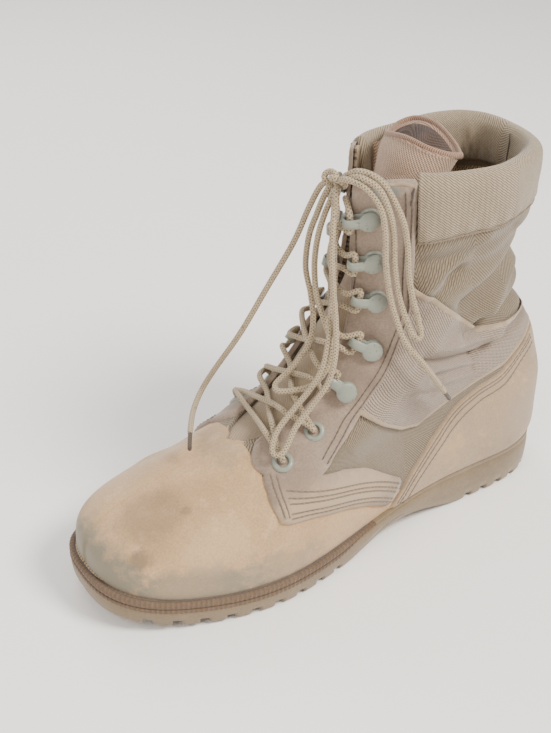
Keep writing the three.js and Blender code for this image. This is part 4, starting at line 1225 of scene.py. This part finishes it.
def turned(profile, count):
    """A section of radius and height turned round the outward axis."""
    turn = np.arange(count) / count * 2 * math.pi
    r, h = np.asarray(profile, float).T[..., None]
    return np.stack([r * np.cos(turn), r * np.sin(turn), h + 0 * turn], -1)


def revolve(name, profile, origin, axes, material):
    return grid_object(name, origin + turned(profile, 28) @ axes, material, wrap_n=True)


# Side view of a hook's arm, forward and out; its section, in half widths and half thicknesses.
ARM = [
    (-3, 1.3), (1, 1.1), (5, 0.9), (8.8, 1.0), (10.9, 1.9), (11.7, 3.8), (10.9, 5.8), (8.6, 6.7), (5.0, 6.2),
    (1.5, 4.9), (-2, 4.0), (-5, 3.5), (-7.0, 3.3),
]
ARM_SECTION = np.array([
    [-1, -0.3], [-0.93, -1], [0.93, -1], [1, -0.3], [1, 0.3], [0.93, 1], [-0.93, 1], [-1, 0.3],
])
ARM_HALF_THICK = 0.62
ROUND_END_RADIUS = 5.5
NECK_HALF_WIDTH = 2.6
HEAD_BACK = 1.5
RIVET_HEAD = [
    (5.6, -0.6), (5.6, 0.3), (5.3, 0.8), (4.6, 1.25), (4.3, 1.3), (3.9, 1.05), (3.5, 1.35), (2.4, 1.9),
    (1.0, 2.15), (0.01, 2.2),
]


def make_hook(name, origin, axes):
    """Rivet head, and an arm that runs over the throat's edge and curls back to a round end."""
    count, sides = 80, len(ARM_SECTION)
    centre = spline(ARM, count)
    share = np.linspace(0, 1, count)
    from_head = centre[:, 0] + HEAD_BACK
    round_end = np.sqrt(np.clip(ROUND_END_RADIUS ** 2 - from_head ** 2, 0.01, None))
    neck = np.where(from_head > 0, NECK_HALF_WIDTH, 0)
    under = np.interp(share, [0, 0.2, 0.4], [3.2, 3.0, 2.4])
    width = mix(under, np.maximum(round_end, neck), smooth((share - 0.5) / 0.1))
    way = unit(np.gradient(centre, axis=0))
    lift = ARM_HALF_THICK * ARM_SECTION[:, 1]
    local = np.stack([centre[:, :1] - lift * way[:, 1:], width[:, None] * ARM_SECTION[:, 0],
                      centre[:, 1:] + lift * way[:, :1]], -1)
    arm = origin + closed_ends(local) @ axes
    disc = origin + (turned(RIVET_HEAD, 24) - [HEAD_BACK, 0, 0]) @ axes
    faces = [grid_faces(count + 2, sides, wrap_n=True),
             grid_faces(len(RIVET_HEAD), 24, wrap_n=True) + (count + 2) * sides]
    return make_mesh(name, np.concatenate([arm.reshape(-1, 3), disc.reshape(-1, 3)]), np.concatenate(faces),
                     PAINT)


EYELET_RIM = [
    (2.9, -1.5), (2.9, 0.2), (3.1, 0.9), (3.7, 1.3), (4.6, 1.2), (5.6, 0.7), (6.0, 0.1), (6.0, -0.6),
]
EYELET_HOLE = [(2.95, 0.1), (2.9, -0.7), (0.01, -0.7)]
for key, places in HOOKS.items():
    for (side, word), (x, z) in zip(SIDES.items(), places):
        node = key.replace("_", "_" + word + "_")
        origin, axes = seat(side, x, z)
        if key.startswith("hook"):
            obj = make_hook(node + "_painted", origin, axes)
        else:
            obj = revolve(node + "_painted", EYELET_RIM, origin, axes, PAINT)
            revolve(node + "_hole", EYELET_HOLE, origin, axes, FOOTBED)
        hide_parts(node)

# ---------------------------------------------------------------- lace
def make_lace_material():
    """Round braid: tan strands slanting both ways round the cord with painted shade between them, dark
    flecks, darker tips.
    """
    material, tree, shader = new_material("lace_braid", sheen=0.2)
    length, share, _ = parts(millimetres(tree))
    turns, steps = share * (2 * math.pi * 4), length * (2 * math.pi / 1.7)
    braid = (steps + turns).calc("SINE").calc("MAXIMUM", (steps - turns).calc("SINE"))
    where = object_place(tree)
    fleck = ramp(noise(where, 420, 3, 0.7), 0.58, 0.70)
    dirt = ramp(noise(where, 60, 4, 0.6), 0.45, 0.75)
    tip = add(tree, "Attribute", out="Fac", attribute_name="tip")
    # Painted shade in the pits between the strands.
    color = blend(tree, ramp(braid, -0.9, 0.6), rgb(96, 78, 58), rgb(176, 156, 124))
    color = blend(tree, fleck * 0.75, color, rgb(84, 68, 50))
    color = blend(tree, dirt * 0.3, color, rgb(150, 132, 106))
    color = blend(tree, tip, color, rgb(74, 58, 42))
    finish_material(tree, shader, color, 0.8, braid, 0.00035)
    return material


LACE = make_lace_material()
LACE_RADIUS = 1.6
TIP_LENGTH = 12


def lace_tube(name, line, radius, tipped=False):
    """Round lace along a drawn line, thinner and darker over its last stretch if it is tipped."""
    line = np.asarray(line, float)
    n, sides = len(line), 12
    way = unit(np.gradient(line, axis=0))
    across = np.zeros_like(line)
    across[0] = unit(np.cross(way[0], [0.3, 0.2, 1.0]))
    for k in range(1, n):
        across[k] = unit(across[k - 1] - way[k] * np.dot(across[k - 1], way[k]))
    up = np.cross(way, across)
    turn = np.arange(sides + 1) / sides * 2 * math.pi
    length = travel(line)
    to_end = length[-1] - length
    r = radius * (mix(0.78, 1.0, smooth((to_end - TIP_LENGTH) / 3)) if tipped else np.ones(n))
    r[[0, -1]] *= 0.02
    r[[1, -2]] *= 0.85
    p = line[:, None] + r[:, None, None] * (np.cos(turn)[None, :, None] * across[:, None]
                                            + np.sin(turn)[None, :, None] * up[:, None])
    uv = np.stack(np.broadcast_arrays(length[:, None], turn / (2 * math.pi)), -1).reshape(-1, 2)
    tip = np.repeat((to_end < TIP_LENGTH + 1) * tipped, sides + 1)
    return grid_object(name, p, LACE, uv=uv, attributes=[("tip", tip)])


HALF_THROAT, OVER_FACING = 15.5, 6.8
OUT_OF_EYELET = [(0, 0, -0.6), (0, 0, 2.1), (1.1, 0.3, 4.2), (4.8, 1, 5)]
OUT_OF_HOOK = [(8.2, 0, 3.7), (8.5, 5.8, 3.7)]


def lace_height(y, low):
    return mix(low, OVER_FACING, smooth((abs(y) - HALF_THROAT + 9) / 6))


def over_tongue(from_key, from_side, to_key, to_side, low):
    """Points of a crossing in the plane of its straight way and of the ridge's outward direction."""
    a0, r0 = side_view(*HOOKS[from_key][from_side < 0], from_side)
    a1, r1 = side_view(*HOOKS[to_key][to_side < 0], to_side)
    start, end = last(a0, r0), last(a1, r1)
    plane = np.cross(normal(math.pi, (r0 + r1) / 2 + 1), end - start)
    rows = np.linspace(3, RIM, 801)
    points = []
    for t in (0.25, 0.38, 0.5, 0.62, 0.75):
        angle = mix(a0 % (2 * math.pi), a1 % (2 * math.pi), t)
        line = last(angle, rows)
        k = np.argmin(np.abs((line - start) @ plane))
        points.append(skin(angle, rows[k], lace_height(line[k, 1], low)))
    return points


def leave(key, side, flip=1):
    """Points from a hook or eyelet outwards, mirrored in its up axis if flip is -1."""
    origin, axes = seat(side, *HOOKS[key][side < 0])
    way_out = OUT_OF_HOOK if key.startswith("hook") else OUT_OF_EYELET
    return [origin + np.asarray(q, float) @ (axes * [[1], [flip], [1]]) for q in way_out]


def reach(key, side):
    return leave(key, side, -1)[::-1]


KNOT = np.array([160.5, 10, 221.0])
KEYS = list(HOOKS)


def lace_run(side, low):
    """From the upper eyelet of one side, from hook to hook, to the knot."""
    points = list(leave(KEYS[1], side))
    for key, following in zip(KEYS[1:-1], KEYS[2:]):
        before, at = reach(following, -side)
        after = leave(following, -side)[1]
        points += over_tongue(key, side, following, -side, low) + [before, at, after]
        side = -side
    return points + [KNOT + [-2, side * 5, -4]]


def bottom_run(side, to_key, low):
    end = leave(KEYS[0], -side)[::-1] if to_key == KEYS[0] else reach(to_key, -side)
    return leave(KEYS[0], side) + over_tongue(KEYS[0], side, to_key, -side, low) + end


crossings = [
    bottom_run(1, KEYS[0], 1.4), bottom_run(1, KEYS[1], 1.2), bottom_run(-1, KEYS[1], 4.4), lace_run(1, 1.2),
    lace_run(-1, 4.4),
]
for k, points in enumerate(crossings):
    line = spline(points, int(length_of(points) / 1.1))
    obj = lace_tube("lace_crossing_%d" % (k + 1), line, LACE_RADIUS)
    if k == 4:
        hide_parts("lace_crossings")


def knot_line():
    """Overhand knot: a trefoil, opened where it closes, its lobes up and down over the upper hooks."""
    t = np.linspace(0.2, 2 * math.pi - 0.2, 140)
    a, b = np.sin(t) + 2 * np.sin(2 * t), np.cos(t) - 2 * np.cos(2 * t)
    return np.array([160.0, 8.5, 221.5]) + 2.1 * np.stack([-np.sin(3 * t) + 0.3 * b, 1.15 * a, b], -1)


CORDS = {
    "lace_knot": ("knot", knot_line()),
    "lace_end_1": ("bare", [
        (160.5, 5, 221), (162.5, 0, 217), (166.5, -4, 204), (173, -7, 185), (186, -11, 160),
        (198, -18, 132), (207, -28, 108), (213, -33, 93), (222, -27, 86), (232, -13, 85), (241, 2, 82),
    ]),
    "lace_end_2": ("bare", [
        (160.5, 11, 223), (161.5, 19, 227.5), (157, 29, 226), (151.5, 35.5, 217), (148.5, 37, 203),
        (146.5, 37, 186), (142.5, 37.5, 167), (139, 41, 152), (135.5, 46, 140), (127, 51, 128),
        (112, 49.5, 108.5), (98, 44.5, 91),
    ]),
    "lace_loop_1": ("knot", [
        (160.5, 6, 220), (162.5, 3.5, 213), (164, 0, 202), (165.5, -4, 188), (166, -5, 170),
        (165.5, 0, 156), (168, 7, 145), (171.5, 10, 134), (177, 9, 124), (184, 6.5, 115), (190, 6, 110),
        (191.5, 11, 109), (186, 17, 111), (178, 22, 114), (173, 25, 121), (168.5, 24.5, 129),
        (167, 22, 139), (167.5, 16, 149), (168, 9, 160), (167.5, 5, 176), (167, 6, 192), (166, 9, 205),
        (163, 10.5, 215), (160.5, 9.5, 220),
    ]),
    "lace_loop_2": ("knot", [
        (160.5, 11, 222), (164.5, 16.5, 217.5), (165, 18, 206), (164.5, 17, 190), (163, 17, 171),
        (166.5, 20.5, 156), (172, 27, 141), (177, 29.5, 128), (183, 27.5, 116), (193, 25, 103),
        (202, 26, 94), (207, 31, 87), (203, 34.5, 87.5), (193, 31.5, 99), (183, 32.5, 111),
        (175.5, 34.5, 124), (171, 32.5, 139), (168, 27, 153), (168.5, 24, 170), (169.5, 22.5, 187),
        (168.5, 20.5, 203), (165, 16, 214.5), (161.5, 11.5, 221),
    ]),
    "lace_loop_3": ("knot", [
        (159.5, 13.5, 224), (158, 24, 230), (152.5, 33.5, 226.5), (148, 37.5, 216), (143.5, 37.5, 202),
        (141.5, 38, 184), (138, 39.5, 166), (134.5, 43.5, 152), (131, 47, 143), (127.5, 47.5, 143.5),
        (129, 45.8, 153), (132.5, 43.6, 166), (135.5, 42.4, 180), (137.5, 41.4, 197), (141.5, 39.4, 212),
        (150, 33, 229), (157, 22.5, 232), (160, 13.5, 225),
    ]),
}
for name, (far_end, points) in CORDS.items():
    line = spline(points, int(length_of(points) / 1.1))
    obj = lace_tube(name + "_braid", line, LACE_RADIUS, tipped=far_end == "bare")
    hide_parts(name)

# ---------------------------------------------------------------- stage and light
FLOOR_HALF = 6.0


def make_floor():
    """Plain pale sheet, level, far wider than the view."""
    material, tree, shader = new_material("backdrop_sheet")
    link_in(tree, shader, {"Roughness": 0.9, "Base Color": rgb(252, 247, 240)})
    mesh = bpy.data.meshes.new("backdrop")
    corners = [(-1, -1), (1, -1), (1, 1), (-1, 1)]
    mesh.from_pydata([(FLOOR_HALF * x, FLOOR_HALF * y, 0) for x, y in corners], [], [(0, 1, 2, 3)])
    mesh.materials.append(material)
    obj = bpy.data.objects.new("backdrop", mesh)
    scene.collection.objects.link(obj)


make_floor()


def soft_light(name, position, target, size, watts, color=(1, 1, 1)):
    data = bpy.data.lights.new(name, "AREA")
    data.shape, data.size, data.energy, data.color = "DISK", size, watts, color
    obj = bpy.data.objects.new(name, data)
    obj.location = position
    obj.rotation_euler = (Vector(target) - Vector(position)).to_track_quat("-Z", "Y").to_euler()
    scene.collection.objects.link(obj)


soft_light("key_light", (-0.35, 0.85, 1.25), (0.1, 0, 0.08), 0.55, 33, (1.0, 0.985, 0.95))
soft_light("front_light", (1.1, 0.35, 0.9), (0.1, 0, 0.08), 0.9, 9, (0.97, 0.98, 1.0))
soft_light("back_light", (0.1, -1.0, 0.9), (0.1, 0, 0.1), 0.9, 8)
world = bpy.data.worlds.new("studio")
world.use_nodes = True
link_in(world.node_tree, world.node_tree.nodes["Background"], {"Color": (1, 1, 1, 1), "Strength": 0.72})
scene.world = world
